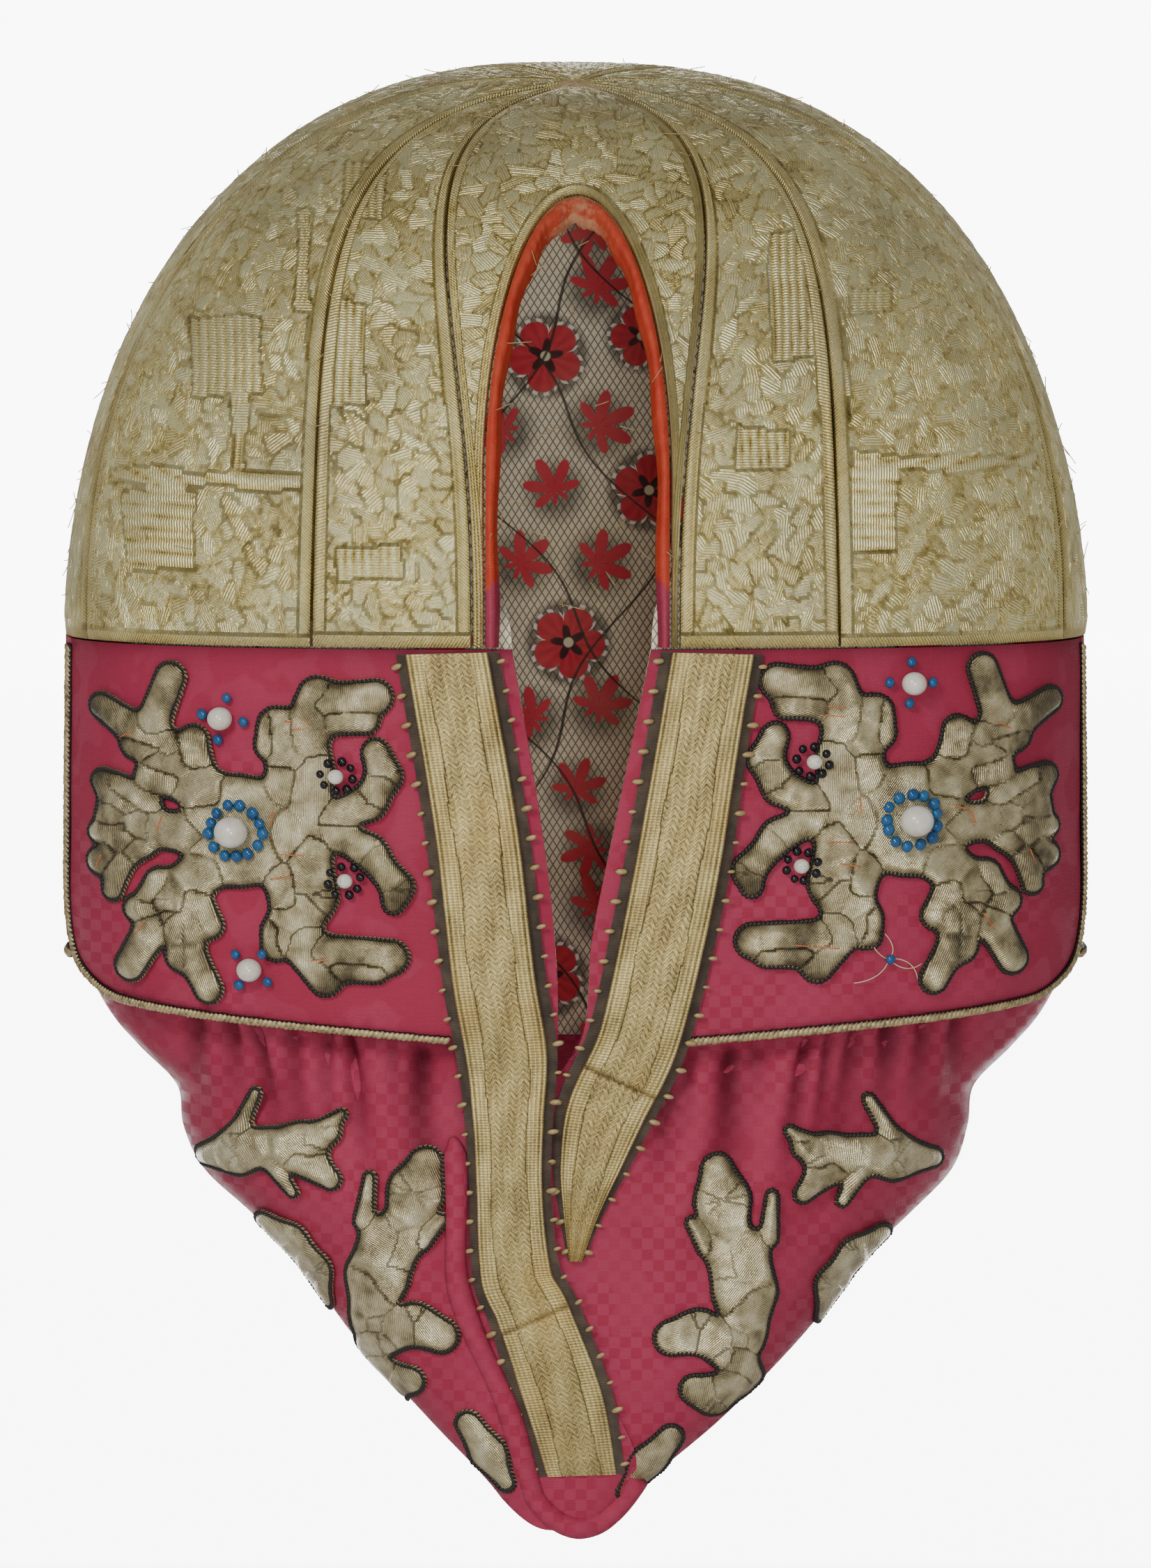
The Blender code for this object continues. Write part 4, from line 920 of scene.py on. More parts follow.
for side, hand in ((-1, "left"), (1, "right")):
    down = np.concatenate((np.linspace(0, 1 / 7, 10)[:-1], np.linspace(1 / 7, 1, 122)))
    turn, z, out, x, share = flap_grid(side, np.linspace(0, 1, 155), down)
    under = np.clip(share - 1, 0, 6) / 6
    # The gathers are sharp creases at the cord that open into soft folds lower down.
    pleat = np.zeros_like(x)
    for place, depth, wide, reach in (
        (17.5, 1.5, 2.6, 0.5), (23.0, 1.0, 2.2, 0.4), (31.0, 1.3, 3.0, 0.7),
        (37.0, 0.8, 2.4, 0.5), (46.0, 1.8, 2.2, 0.6), (50.5, 1.4, 2.0, 0.42),
        (57.0, 1.2, 3.0, 0.5), (65.0, 1.7, 2.4, 0.4), (71.0, 1.2, 2.4, 0.36),
        (79.0, 1.2, 2.6, 0.4),
    ):
        drift = place - 0.10 * place * under * 2.2 + 0.8 * np.sin(under * 9 + place)
        off = (side * x / MM - drift) / (wide * (0.6 + 2.4 * under))
        pleat -= 2.1 * depth * np.exp(-off * off) * (1 - eased(under / reach))
    pleat += 0.5 * np.sin(side * x / (6.5 * MM) + 5 * under) * (1 - under) * eased(under * 12)
    fine_fold = np.sin(side * x / (3.4 * MM) + 2 * np.sin(under * 8))
    pleat += 0.35 * fine_fold * eased(under * 9) * (1 - under) ** 2
    covered = eased(under * 14)
    hem = np.exp(-(((1 - share / 7) * 110) / 3.0) ** 2)
    shade = np.clip(-(pleat + 0.8) * 0.36 * covered, 0, 0.85)
    shade = shade + 0.5 * np.exp(-under * 38) * (share > 1)
    flap = silk_wall(
        f"silk_flap_{hand}", turn, z, out + (pleat * covered + 0.5 * hem) * MM, FLAP_WALL,
        np.clip(shade, 0, 0.9),
    )
    dressed(flap, silk, f"flap_{hand}", slot="silk")

start = FLAP_END + SEAM_GAP * 3 / HALF_DEPTH
turn = np.repeat(np.linspace(start, 2 * math.pi - start, 160)[:, None], 60, 1)
near = np.minimum(turn, 2 * math.pi - turn)
share = np.linspace(0, 1, 60)[None, :] * 7
top, open_from = band_bottom(near) + 5 * MM, band_bottom(near) - 1 * MM
z = lerp(open_from, hem_level(near), (np.maximum(share - 1, 0) / 6) ** 1.25)
z = np.where(share < 1, lerp(top, open_from, share), z)
depth = (PANEL_WALL + FLAP_GAP) * (1 - eased((band_bottom(near) - 1 * MM - z) / (13 * MM)))
under = np.clip(share - 1, 0, 6) / 6
gather = 0.45 * np.sin(near * 24) * eased(under * 8) + 0.25 * np.sin(near * 61) * (1 - under)
out = gather * MM * np.minimum(under * 6, 1) - depth
skirt = silk_wall(
    "silk_skirt_front", turn, z, out, FLAP_WALL
)
dressed(skirt, silk, "skirt_front", slot="silk")


def tube(path, radius, rings):
    """A round tube along a path of points, its radius given for each point."""
    path = np.asarray(path)
    radius = np.broadcast_to(radius, len(path))
    ahead = np.gradient(path, axis=0)
    ahead /= np.linalg.norm(ahead, axis=1, keepdims=True)
    out = path - np.array((0, 0, 1)) * path[:, 2:]
    out -= np.sum(out * ahead, 1, keepdims=True) * ahead
    out /= np.linalg.norm(out, axis=1, keepdims=True)
    side = np.cross(ahead, out)
    angle = np.linspace(0, 2 * np.pi, rings, endpoint=False)[None, :, None]
    spoke = np.cos(angle) * out[:, None] + np.sin(angle) * side[:, None]
    ring = path[:, None] + radius[:, None, None] * spoke
    index = np.arange(len(path) * rings).reshape(len(path), rings)
    after = np.roll(index, -1, 1)
    faces = np.stack((index[:-1], after[:-1], after[1:], index[1:]), -1).reshape(-1, 4).tolist()
    faces += [index[0, ::-1].tolist(), index[-1].tolist()]
    return ring, faces


# The rolled edge: the left flap's silk turned over a soft core, twisted a little by its stitches.
ROLLED_EDGE = np.array((
    (0.545, -0.236, 0.40), (0.560, -0.232, 0.50), (0.700, -0.224, 0.60), (0.760, -0.196, 0.60),
    (0.850, -0.136, 0.60), (0.930, -0.094, 0.60), (0.985, -0.064, 0.40),
))
drop = np.linspace(0.55, 0.985, 150)
x, z = HALF_WIDTH * from_table(ROLLED_EDGE, 1, drop), level_of(drop)
x = x + 0.35 * MM * np.sin(z / (7 * MM))
out = 4.2 * MM * (from_table(ROLLED_EDGE, 2, drop) - 0.1) + lift_of(-1, x, z)
path = body_out(body_turn(x, z), z, out)
# It goes on round the point as a rolled hem and up to the end of the left galloon.
hem = np.array((
    (-3.0, -273.4, 1.5), (0.5, -274.6, 1.2), (4.5, -273.6, 1.2), (8.6, -269.8, 1.8),
    (12.0, -264.6, 2.2),
))
turns = body_turn(hem[:, 0] * MM, hem[:, 1] * MM)
hem = body_out(turns, hem[:, 1] * MM, hem[:, 2] * MM)
path = np.concatenate((path[:-4], np.repeat(hem, 6, 0)))
for _ in range(14):
    path[110:-1] = (path[109:-2] + 2 * path[110:-1] + path[111:]) / 4
drop = np.linspace(0.55, 1.02, len(path))
z = level_of(drop)
thick = 2.15 * MM * (1 + 0.07 * np.sin(z / (3.7 * MM)))
thick = thick * np.sqrt(np.clip((drop - 0.548) / 0.02, 0.05, 1))
ring, faces = tube(path, thick, 16)
mesh = bpy.data.meshes.new("silk_rolled_edge")
mesh.from_pydata(ring.reshape(-1, 3).tolist(), [], faces)
mesh.shade_smooth()
dressed(added("silk_rolled_edge", mesh), silk, "rolled_edge", slot="silk")


# Two trims lie along the slit's edges on the silk: a dark brown ribbon whose edges carry a loop
# of pale gold thread every 6 mm, and over it a gold galloon, woven with cords along its edges
# and a knobbly middle, pieced together across where one length ended.
LEFT_GALLOON = np.array((
    (0.006, -0.247, 1.00), (0.205, -0.190, 1.02), (0.370, -0.157, 1.02), (0.454, -0.133, 1.00),
    (0.530, -0.128, 0.86), (0.604, -0.126, 0.80), (0.706, -0.112, 0.86), (0.745, -0.082, 0.90),
    (0.848, -0.022, 0.96), (0.935, 0.012, 0.84),
))
RIGHT_GALLOON = np.array((
    (0.006, 0.263, 1.00), (0.104, 0.235, 1.00), (0.227, 0.201, 1.04), (0.312, 0.173, 1.04),
    (0.436, 0.122, 1.00), (0.520, 0.060, 0.98), (0.585, 0.028, 0.74), (0.640, 0.010, 0.42),
    (0.690, 0.000, 0.16),
))
GALLOON_WIDTH, RIBBON_WIDTH = 15.6 * MM, 19.6 * MM
RIBBON_FACE, GALLOON_FACE = 1.5 * MM, 3.05 * MM


def on_strip(table, side, width, share, drop, out):
    """Points of a strip along the slit, and the directions that face out of it."""
    middle = HALF_WIDTH * from_table(table, 1, drop)
    slope = from_table(table, 1, drop + 0.004) - from_table(table, 1, drop - 0.004)
    slope = slope * HALF_WIDTH / (0.008 * (TIP_LEVEL - CROWN_BASE))
    half = width / 2 * from_table(table, 2, drop)
    x, z = middle + half * (2 * share - 1), np.broadcast_to(level_of(drop), np.shape(middle))
    x, z = np.broadcast_arrays(x, z - 0.35 * slope * half * (2 * share - 1))
    lift = np.maximum(lift_of(side, x, z), 0)
    return body_out(body_turn(x, z), z, lift + out)


def run_along(name, paths, unit, spacing, finish, size=(1, 1), seed=1):
    """Repeats a small mesh along paths, or at their points where spacing is None. The unit's Z
    lies along the path and its X faces out from the cap. size is its least and most."""
    points = np.concatenate([np.asarray(path) for path in paths])
    edges, start = [], 0
    for path in paths:
        edges += [(i, i + 1) for i in range(start, start + len(path) - 1)] if spacing else []
        start += len(path)
    line = bpy.data.meshes.new(name)
    line.from_pydata(points.tolist(), edges, [])
    out = points - np.array((0, 0.03, 0)) - np.array((0, 0, 0.75)) * points[:, 2:]
    out /= np.linalg.norm(out, axis=1, keepdims=True)
    line.attributes.new("out", "FLOAT_VECTOR", "POINT").data.foreach_set("vector", out.ravel())
    piece = added(name, line)
    pattern = added(name + "_unit", unit)

    group = bpy.data.node_groups.new(name, "GeometryNodeTree")
    face, nodes, link = group.interface, group.nodes, group.links.new
    for title, way, kind in (
        ("Path", "INPUT", "NodeSocketGeometry"),
        ("Spacing", "INPUT", "NodeSocketFloat"),
        ("Least", "INPUT", "NodeSocketFloat"),
        ("Most", "INPUT", "NodeSocketFloat"),
        ("Unit", "INPUT", "NodeSocketObject"),
        ("Finish", "INPUT", "NodeSocketMaterial"),
        ("Piece", "OUTPUT", "NodeSocketGeometry"),
    ):
        face.new_socket(title, in_out=way, socket_type=kind)
    given, made = nodes.new("NodeGroupInput"), nodes.new("NodeGroupOutput")
    copies = nodes.new("GeometryNodeInstanceOnPoints")
    outwards = nodes.new("GeometryNodeInputNamedAttribute")
    outwards.data_type = "FLOAT_VECTOR"
    outwards.inputs["Name"].default_value = "out"
    facing = nodes.new("FunctionNodeAlignRotationToVector")
    facing.axis = "X"
    link(outwards.outputs["Attribute"], facing.inputs["Vector"])
    turned = facing
    if spacing:
        curve, even = nodes.new("GeometryNodeMeshToCurve"), nodes.new("GeometryNodeResampleCurve")
        even.mode = "LENGTH"
        link(given.outputs["Path"], curve.inputs[0])
        link(curve.outputs[0], even.inputs["Curve"])
        link(given.outputs["Spacing"], even.inputs["Length"])
        link(even.outputs[0], copies.inputs["Points"])
        turned = nodes.new("FunctionNodeAlignRotationToVector")
        turned.axis, turned.pivot_axis = "Z", "X"
        link(facing.outputs[0], turned.inputs["Rotation"])
        link(nodes.new("GeometryNodeInputTangent").outputs[0], turned.inputs["Vector"])
    else:
        link(given.outputs["Path"], copies.inputs["Points"])
    link(turned.outputs[0], copies.inputs["Rotation"])
    sizes = nodes.new("FunctionNodeRandomValue")
    sizes.inputs["Seed"].default_value = seed
    link(given.outputs["Least"], sizes.inputs[2])
    link(given.outputs["Most"], sizes.inputs[3])
    link(sizes.outputs[1], copies.inputs["Scale"])
    shape = nodes.new("GeometryNodeObjectInfo")
    link(given.outputs["Unit"], shape.inputs["Object"])
    link(shape.outputs["Geometry"], copies.inputs["Instance"])
    real, coat = nodes.new("GeometryNodeRealizeInstances"), nodes.new("GeometryNodeSetMaterial")
    link(copies.outputs[0], real.inputs[0])
    link(real.outputs[0], coat.inputs[0])
    link(given.outputs["Finish"], coat.inputs["Material"])
    link(coat.outputs[0], made.inputs[0])

    modifier = piece.modifiers.new("repeats", "NODES")
    modifier.node_group = group
    values = {"Spacing": spacing or 1.0, "Least": size[0], "Most": size[1], "Unit": pattern}
    values["Finish"] = finish.material
    for item in face.items_tree:
        if item.name in values:
            modifier[item.identifier] = values[item.name]
    bpy.context.view_layer.update()
    shown = piece.evaluated_get(bpy.context.evaluated_depsgraph_get())
    done = bpy.data.meshes.new_from_object(shown)
    piece.modifiers.remove(modifier)
    piece.data = done
    done.name = name
    bpy.data.objects.remove(pattern)
    done.shade_smooth()
    return piece


def ball(name, radius, stretch=(1, 1, 1), turn=(0, 0, 0), detail=(8, 6), hue=None):
    """A small bead-like mesh, stretched and turned; hue stores a value from its low end up."""
    mesh = bpy.data.meshes.new(name)
    shape = bmesh.new()
    bmesh.ops.create_uvsphere(shape, u_segments=detail[0], v_segments=detail[1], radius=radius)
    mark = shape.verts.layers.float.new("hue")
    for corner in shape.verts:
        corner[mark] = 0.5 if hue is None else float(corner.co.x * hue > 0)
        corner.co = Vector(corner.co[i] * stretch[i] for i in range(3))
        corner.co.rotate(Euler([math.radians(a) for a in turn]))
    shape.to_mesh(mesh)
    shape.free()
    return mesh


ribbon_cloth = Finish("ribbon_brown", (0.045, 0.028, 0.018), 0.8, sheen=0.3)
rib_up = ribbon_cloth.place("X", "Z")[1]
ribs = ribs_of(rib_up, 0.5)
dust = (ribbon_cloth.noise(220, 5) - 0.4).clamp()
ribbon_cloth.wear(
    Base_Color=ribbon_cloth.mix(
        dust * 1.4 + ribs * 0.15, (0.035, 0.022, 0.014), (0.16, 0.11, 0.065)
    ),
    Roughness=0.7 + ribs * 0.2,
)
ribbon_cloth.bump(ribs + ribbon_cloth.noise(1500, 2) * 0.5, 0.1 * MM, 0.8)

galloon_gold = Finish("galloon_gold_woven", (0.48, 0.37, 0.16), 0.45, 0.6)
height, line, shine = (galloon_gold.value(key) for key in ("relief", "thread", "tone"))
strand = ribs_of(line, 0.55 * MM)
grain, patchy = galloon_gold.noise(2300, 2), galloon_gold.noise(130, 4)
# The galloon is brighter on its raised knobs and cords and darker in the hollows and at the joint:
# painted highlight and shade.
light = height * 0.5 + strand * 0.12 + shine * 0.12 + patchy * 0.5 + grain * 0.45 - 0.32
tint = galloon_gold.ramp(
    light.clamp(),
    (0.0, (0.05, 0.034, 0.014)),
    (0.3, (0.22, 0.155, 0.060)),
    (0.6, (0.55, 0.43, 0.17)),
    (1.0, (0.98, 0.86, 0.46)),
)
galloon_gold.wear(
    Base_Color=galloon_gold.mix(
        (galloon_gold.noise(55, 4) - 0.5).clamp() * 1.6, tint, (0.50, 0.30, 0.07)
    ),
    Roughness=0.52 - height * 0.12 + grain * 0.1,
    Metallic=0.45 + height * 0.3,
)
galloon_gold.bump(strand * 0.4 + grain * 0.7, 0.14 * MM, 0.9)
loop_gold = Finish("picot_gold", (0.62, 0.50, 0.28), 0.5, 0.3)
loop_gold.wear(
    Base_Color=loop_gold.mix(loop_gold.noise(700, 3), (0.26, 0.17, 0.06), (0.66, 0.50, 0.24))
)
loop_gold.bump(loop_gold.noise(3000, 2), 0.1 * MM)

for side, hand, table, joints in (
    (-1, "left", LEFT_GALLOON, (0.7555,)),
    (1, "right", RIGHT_GALLOON, (0.4865,)),
):
    drop = np.linspace(table[0, 0], table[-1, 0], 300)[None, :]
    share = np.linspace(0, 1, 20)[:, None]
    grids = [
        on_strip(
            table, side, RIBBON_WIDTH, share, drop,
            out - 0.3 * MM * (np.abs(2 * share - 1) > 0.9),
        )
        for out in (RIBBON_FACE, RIBBON_FACE - 0.75 * MM)
    ]
    ribbon = wall_mesh(f"ribbon_woven_{hand}", *grids, skip=4)
    dressed(ribbon, ribbon_cloth, f"ribbon_{hand}", slot="dark_ribbon")

    cells = round((table[-1, 0] - table[0, 0]) * 172.5 / 0.44)
    drop = np.linspace(table[0, 0], table[-1, 0], cells)[None, :]
    share = np.linspace(0, 1, 56)[:, None]
    scale = from_table(table, 2, drop)
    t = (2 * share - 1) * 7.8 + 0 * drop
    s = drop * 172.5 + 0 * share
    wander = 0.35 * np.sin(s / 7.3) + 0.2 * np.sin(s / 2.9)
    edge = np.abs(np.sin(np.pi * (np.abs(t) - 4.2) / 0.9)) ** 0.7
    zigzag = np.abs((t + wander) % 2.8 - 1.4)
    knobs = np.abs(np.sin(np.pi * (s / 1.25 + zigzag * 0.85))) ** 0.8
    knobs *= 0.55 + 0.45 * np.abs(np.sin(np.pi * (t + wander) / 1.4))
    cord_at = np.abs(t) > 4.2 + 0.25 * np.sin(s / 4.1)
    relief = np.where(cord_at, 0.1 + 0.8 * edge, 0.15 + 0.85 * knobs)
    thread = np.where(cord_at, s * MM, (s * 0.7 + zigzag) * MM)
    tone = np.sin(s / 3.1 + np.floor(t)) * 0.5
    bow = 0.32 * np.cos(np.pi * (share - 0.5)) + 0.12 * np.sin(s / 9)
    out = GALLOON_FACE + (relief * 0.5 + bow - 0.45) * MM
    for joint in joints:
        off = s - joint * 172.5 - 0.25 * t * side
        out = out - 0.55 * MM * np.exp(-((off / 0.45) ** 2)) + 0.35 * MM * (off < 0)
        relief = relief * (1 - 0.8 * np.exp(-((off / 0.4) ** 2)))
    front = on_strip(table, side, GALLOON_WIDTH, share, drop, out)
    behind = on_strip(table, side, GALLOON_WIDTH, share, drop, GALLOON_FACE - 1.5 * MM + 0 * out)
    values = (("relief", relief), ("thread", thread), ("tone", tone))
    galloon = wall_mesh(f"galloon_woven_{hand}", front, behind, values, skip=6)
    dressed(galloon, galloon_gold, f"galloon_{hand}", slot="gold_embroidery")

    drop = np.linspace(table[0, 0] + 0.012, table[-1, 0] - 0.01, 200)
    paths = [
        on_strip(
            table, side, RIBBON_WIDTH, np.full(drop.shape, place), drop, RIBBON_FACE + 0.3 * MM
        )
        for place in (-0.01, 1.01)
    ]
    loop = ball("picot", 0.78 * MM, (0.55, 1.4, 0.62), (12, 0, 0), (8, 5))
    picots = run_along(f"ribbon_picots_{hand}", paths, loop, 5.7 * MM, loop_gold, (0.7, 1.25), 3)
    dressed(picots, loop_gold, slot="dark_ribbon")


# The motifs: gold lame over padding, one piece each, which swells at every leaf and creases
# where two leaves meet. A dark cord with gold twisted in is sewn round the edge, and here and
# there orange-red stitches catch it.
# They are chains of round-ended tapering strokes (x0, z0, r0, x1, z1, r1) in millimetres, about
# the motif's own middle; x is towards the slit.
PALMETTE = np.array((
    (0.0, 0.0, 10.6, 0.0, 0.0, 10.6), (-6.5, -1.3, 4.0, -17.0, -0.6, 3.2),
    (-18.0, -0.6, 3.4, -23.5, 1.0, 4.4), (-22.0, 2.4, 3.6, -26.9, 7.6, 2.2),
    (-22.0, -2.6, 3.4, -24.4, -13.4, 1.8), (-22.0, 0.0, 3.6, -27.6, -2.4, 1.8),
    (-4.6, 5.4, 4.6, -14.5, 13.0, 4.4), (-14.0, 14.0, 3.6, -27.6, 22.2, 2.4),
    (-17.8, 19.0, 3.0, -14.4, 29.0, 2.7), (-9.6, 13.0, 3.6, -9.4, 17.2, 2.6),
    (-12.0, 9.6, 3.6, -17.6, 9.4, 2.8), (-5.0, -6.6, 4.4, -13.0, -13.6, 3.6),
    (-13.0, -14.0, 3.3, -20.4, -27.6, 2.8), (-12.0, -18.6, 2.8, -5.0, -31.0, 2.5),
    (-9.0, -12.6, 3.0, -5.0, -18.6, 2.3), (-15.0, -11.4, 3.0, -16.6, -13.6, 2.4),
    (8.0, 0.0, 6.0, 13.6, 0.6, 4.0), (13.6, 0.6, 3.4, 12.0, 12.0, 5.4),
    (10.6, 13.4, 5.0, 7.0, 20.6, 3.4), (11.6, 17.0, 4.6, 14.0, 27.0, 3.3),
    (14.6, 25.4, 3.6, 25.2, 27.2, 3.1), (13.6, 0.6, 3.4, 13.4, -11.6, 5.2),
    (13.4, -11.6, 5.2, 9.6, -19.6, 3.8), (12.4, -20.0, 4.0, 17.4, -28.0, 2.9),
    (15.4, -23.0, 3.6, 30.0, -23.0, 3.1), (16.4, 3.0, 2.8, 24.6, 6.8, 2.8),
    (24.6, 6.8, 2.8, 27.4, 12.0, 2.7), (27.4, 12.0, 2.7, 25.6, 16.4, 2.5),
    (16.4, 1.4, 2.8, 25.0, -2.8, 2.7), (25.0, -2.8, 2.7, 30.6, -9.4, 2.5),
    (30.6, -9.4, 2.5, 30.0, -12.6, 1.8),
))
TULIP = np.array((
    (-13.0, -1.6, 1.8, -5.6, 0.0, 4.0), (-5.6, 0.0, 4.0, 0.0, 1.6, 2.6),
    (0.0, 1.6, 2.6, 6.6, 1.6, 4.4), (6.6, 2.0, 3.4, 11.6, 4.4, 2.0),
    (6.6, 0.0, 3.6, 12.4, -4.6, 1.8), (-5.6, 4.0, 1.3, -2.8, 11.4, 0.9),
    (11.4, 5.6, 1.2, 14.0, 8.0, 0.8), (0.6, -2.0, 1.4, 5.0, -7.4, 0.9),
))
SPRAY = np.array((
    (9.4, 15.6, 3.0, 7.4, 10.0, 4.8), (7.4, 10.0, 4.8, 4.6, 3.6, 3.0),
    (1.8, 0.0, 5.0, 0.4, -6.6, 5.6), (5.6, 0.8, 3.4, 0.0, -8.6, 4.0),
    (-0.6, -7.4, 5.0, -2.2, -16.6, 2.6), (-2.6, 4.2, 1.6, -1.8, 12.4, 0.9),
    (8.8, 0.6, 1.6, 12.6, 4.6, 0.9), (-4.0, -23.6, 2.2, 0.4, -18.4, 3.2),
    (-2.2, -15.0, 2.6, 1.6, -18.8, 3.2), (0.4, -18.6, 3.2, 7.6, -16.2, 3.6),
    (7.6, -16.2, 3.6, 12.4, -18.2, 3.2), (-2.0, -25.2, 2.8, 2.4, -28.2, 3.4),
    (2.4, -28.2, 3.4, 6.4, -27.6, 2.6),
))
TONGUE = np.array((
    (-3.8, 6.0, 2.4, 0.0, 0.0, 3.1), (0.0, 0.0, 3.1, 3.4, -6.0, 1.6),
))
SIDE_LEAF = np.array((
    (-6.4, 6.4, 1.8, -1.2, 2.6, 2.9), (-1.2, 2.6, 2.9, 3.0, -3.4, 3.2),
    (3.0, -3.4, 3.2, 4.6, -9.6, 1.8),
))

lame = Finish("lame_gold_satin", (0.5, 0.42, 0.24), 0.34, 0.7)
height, line, shine, age = (lame.value(key) for key in ("relief", "thread", "tone", "age"))
strand = ribs_of(line, 0.36 * MM)
cloud, grain = lame.noise(240, 4), lame.noise(2600, 2)
# The lame is brighter where the padding swells and darker where two leaves crease together:
# painted highlight and shade. Towards the tips it is darkened by wear.
light = height * 0.34 + strand * 0.22 + shine * 0.2 + cloud * 1.1 + grain * 0.3 - 0.48 - age * 0.45
tint = lame.ramp(
    light.clamp(),
    (0.0, (0.055, 0.042, 0.022)),
    (0.3, (0.21, 0.165, 0.082)),
    (0.6, (0.58, 0.49, 0.27)),
    (1.0, (1.0, 0.93, 0.66)),
)
lame.wear(Base_Color=tint, Roughness=0.36 - height * 0.1 + age * 0.2, Metallic=0.6 - age * 0.3)
lame.bump(strand * 0.6 + grain * 0.6 + cloud, 0.18 * MM)

plied = Finish("edging_dark_and_gold", (0.25, 0.19, 0.1), 0.5, 0.35)
ply = plied.value("hue").above(0.5, 0.1)
rubbed = plied.noise(900, 3)
plied.wear(
    Base_Color=plied.mix(
        ply * (rubbed * 2.2 - 0.3).clamp(), (0.016, 0.011, 0.008), (0.62, 0.49, 0.25)
    ),
    Metallic=ply * 0.6,
)
plied.bump(plied.noise(3500, 2), 0.08 * MM)
stitch_red = Finish("couching_orange_red", (0.62, 0.14, 0.04), 0.6)
fibres = stitch_red.noise(500)
stitch_red.wear(Base_Color=stitch_red.mix(fibres, (0.50, 0.07, 0.02), (0.74, 0.28, 0.09)))


def stroke_field(strokes, u, w):
    """Distances to each of a motif's strokes, negative inside, and places along each, in mm."""
    x0, z0, r0, x1, z1, r1 = (strokes[:, i].reshape((-1,) + (1,) * np.ndim(u)) for i in range(6))
    run, rise = x1 - x0, z1 - z0
    length = np.maximum(run**2 + rise**2, 1e-9)
    t = np.clip(((u - x0) * run + (w - z0) * rise) / length, 0, 1)
    return np.hypot(u - x0 - run * t, w - z0 - rise * t) - lerp(r0, r1, t), t * np.sqrt(length)


def webbed(each, blend=0.8):
    """One outline round all the strokes, filled out softly where they meet."""
    return -blend * np.log(np.exp(-np.clip(each, -20, 20) / blend).sum(0))


def contours(strokes, cell=0.7):
    """The motif's outlines as loops of points in millimetres, found on a net of triangles."""
    reach = strokes[:, [2, 5]].max() + 2 * cell
    low = strokes[:, [0, 1, 3, 4]].reshape(-1, 2).min(0) - reach
    high = strokes[:, [0, 1, 3, 4]].reshape(-1, 2).max(0) + reach
    columns, rows = np.ceil((high - low) / cell).astype(int)
    steps = [low[i] + np.arange(count + 1) * cell for i, count in enumerate((columns, rows))]
    u, w = np.meshgrid(*steps, indexing="ij")
    value = webbed(stroke_field(strokes, u, w)[0])
    links = {}
    inside = value < 0
    mixed = inside[:-1, :-1].astype(int) + inside[1:, :-1] + inside[1:, 1:] + inside[:-1, 1:]
    for i, j in zip(*np.nonzero((mixed > 0) & (mixed < 4))):
        near, far = (i, j), (i + 1, j + 1)
        for ring in ((near, (i + 1, j), far), (near, far, (i, j + 1))):
            sides = [tuple(sorted(pair)) for pair in zip(ring, ring[1:] + ring[:1])]
            crossed = [(a, b) for a, b in sides if inside[a] != inside[b]]
            if crossed:
                links.setdefault(crossed[0], []).append(crossed[1])
                links.setdefault(crossed[1], []).append(crossed[0])
    loops = []
    while links:
        loop, place = [], next(iter(links))
        while place:
            loop.append(place)
            place = next((other for other in links.pop(place) if other in links), None)
        spots = []
        for a, b in loop:
            share = value[a] / (value[a] - value[b])
            spots.append(low + cell * lerp(np.array(a), np.array(b), share))
        if len(loop) > 14:
            spots = np.array(spots)
            loops.append((np.roll(spots, 1, 0) + 2 * spots + np.roll(spots, -1, 0)) / 4)
    return loops


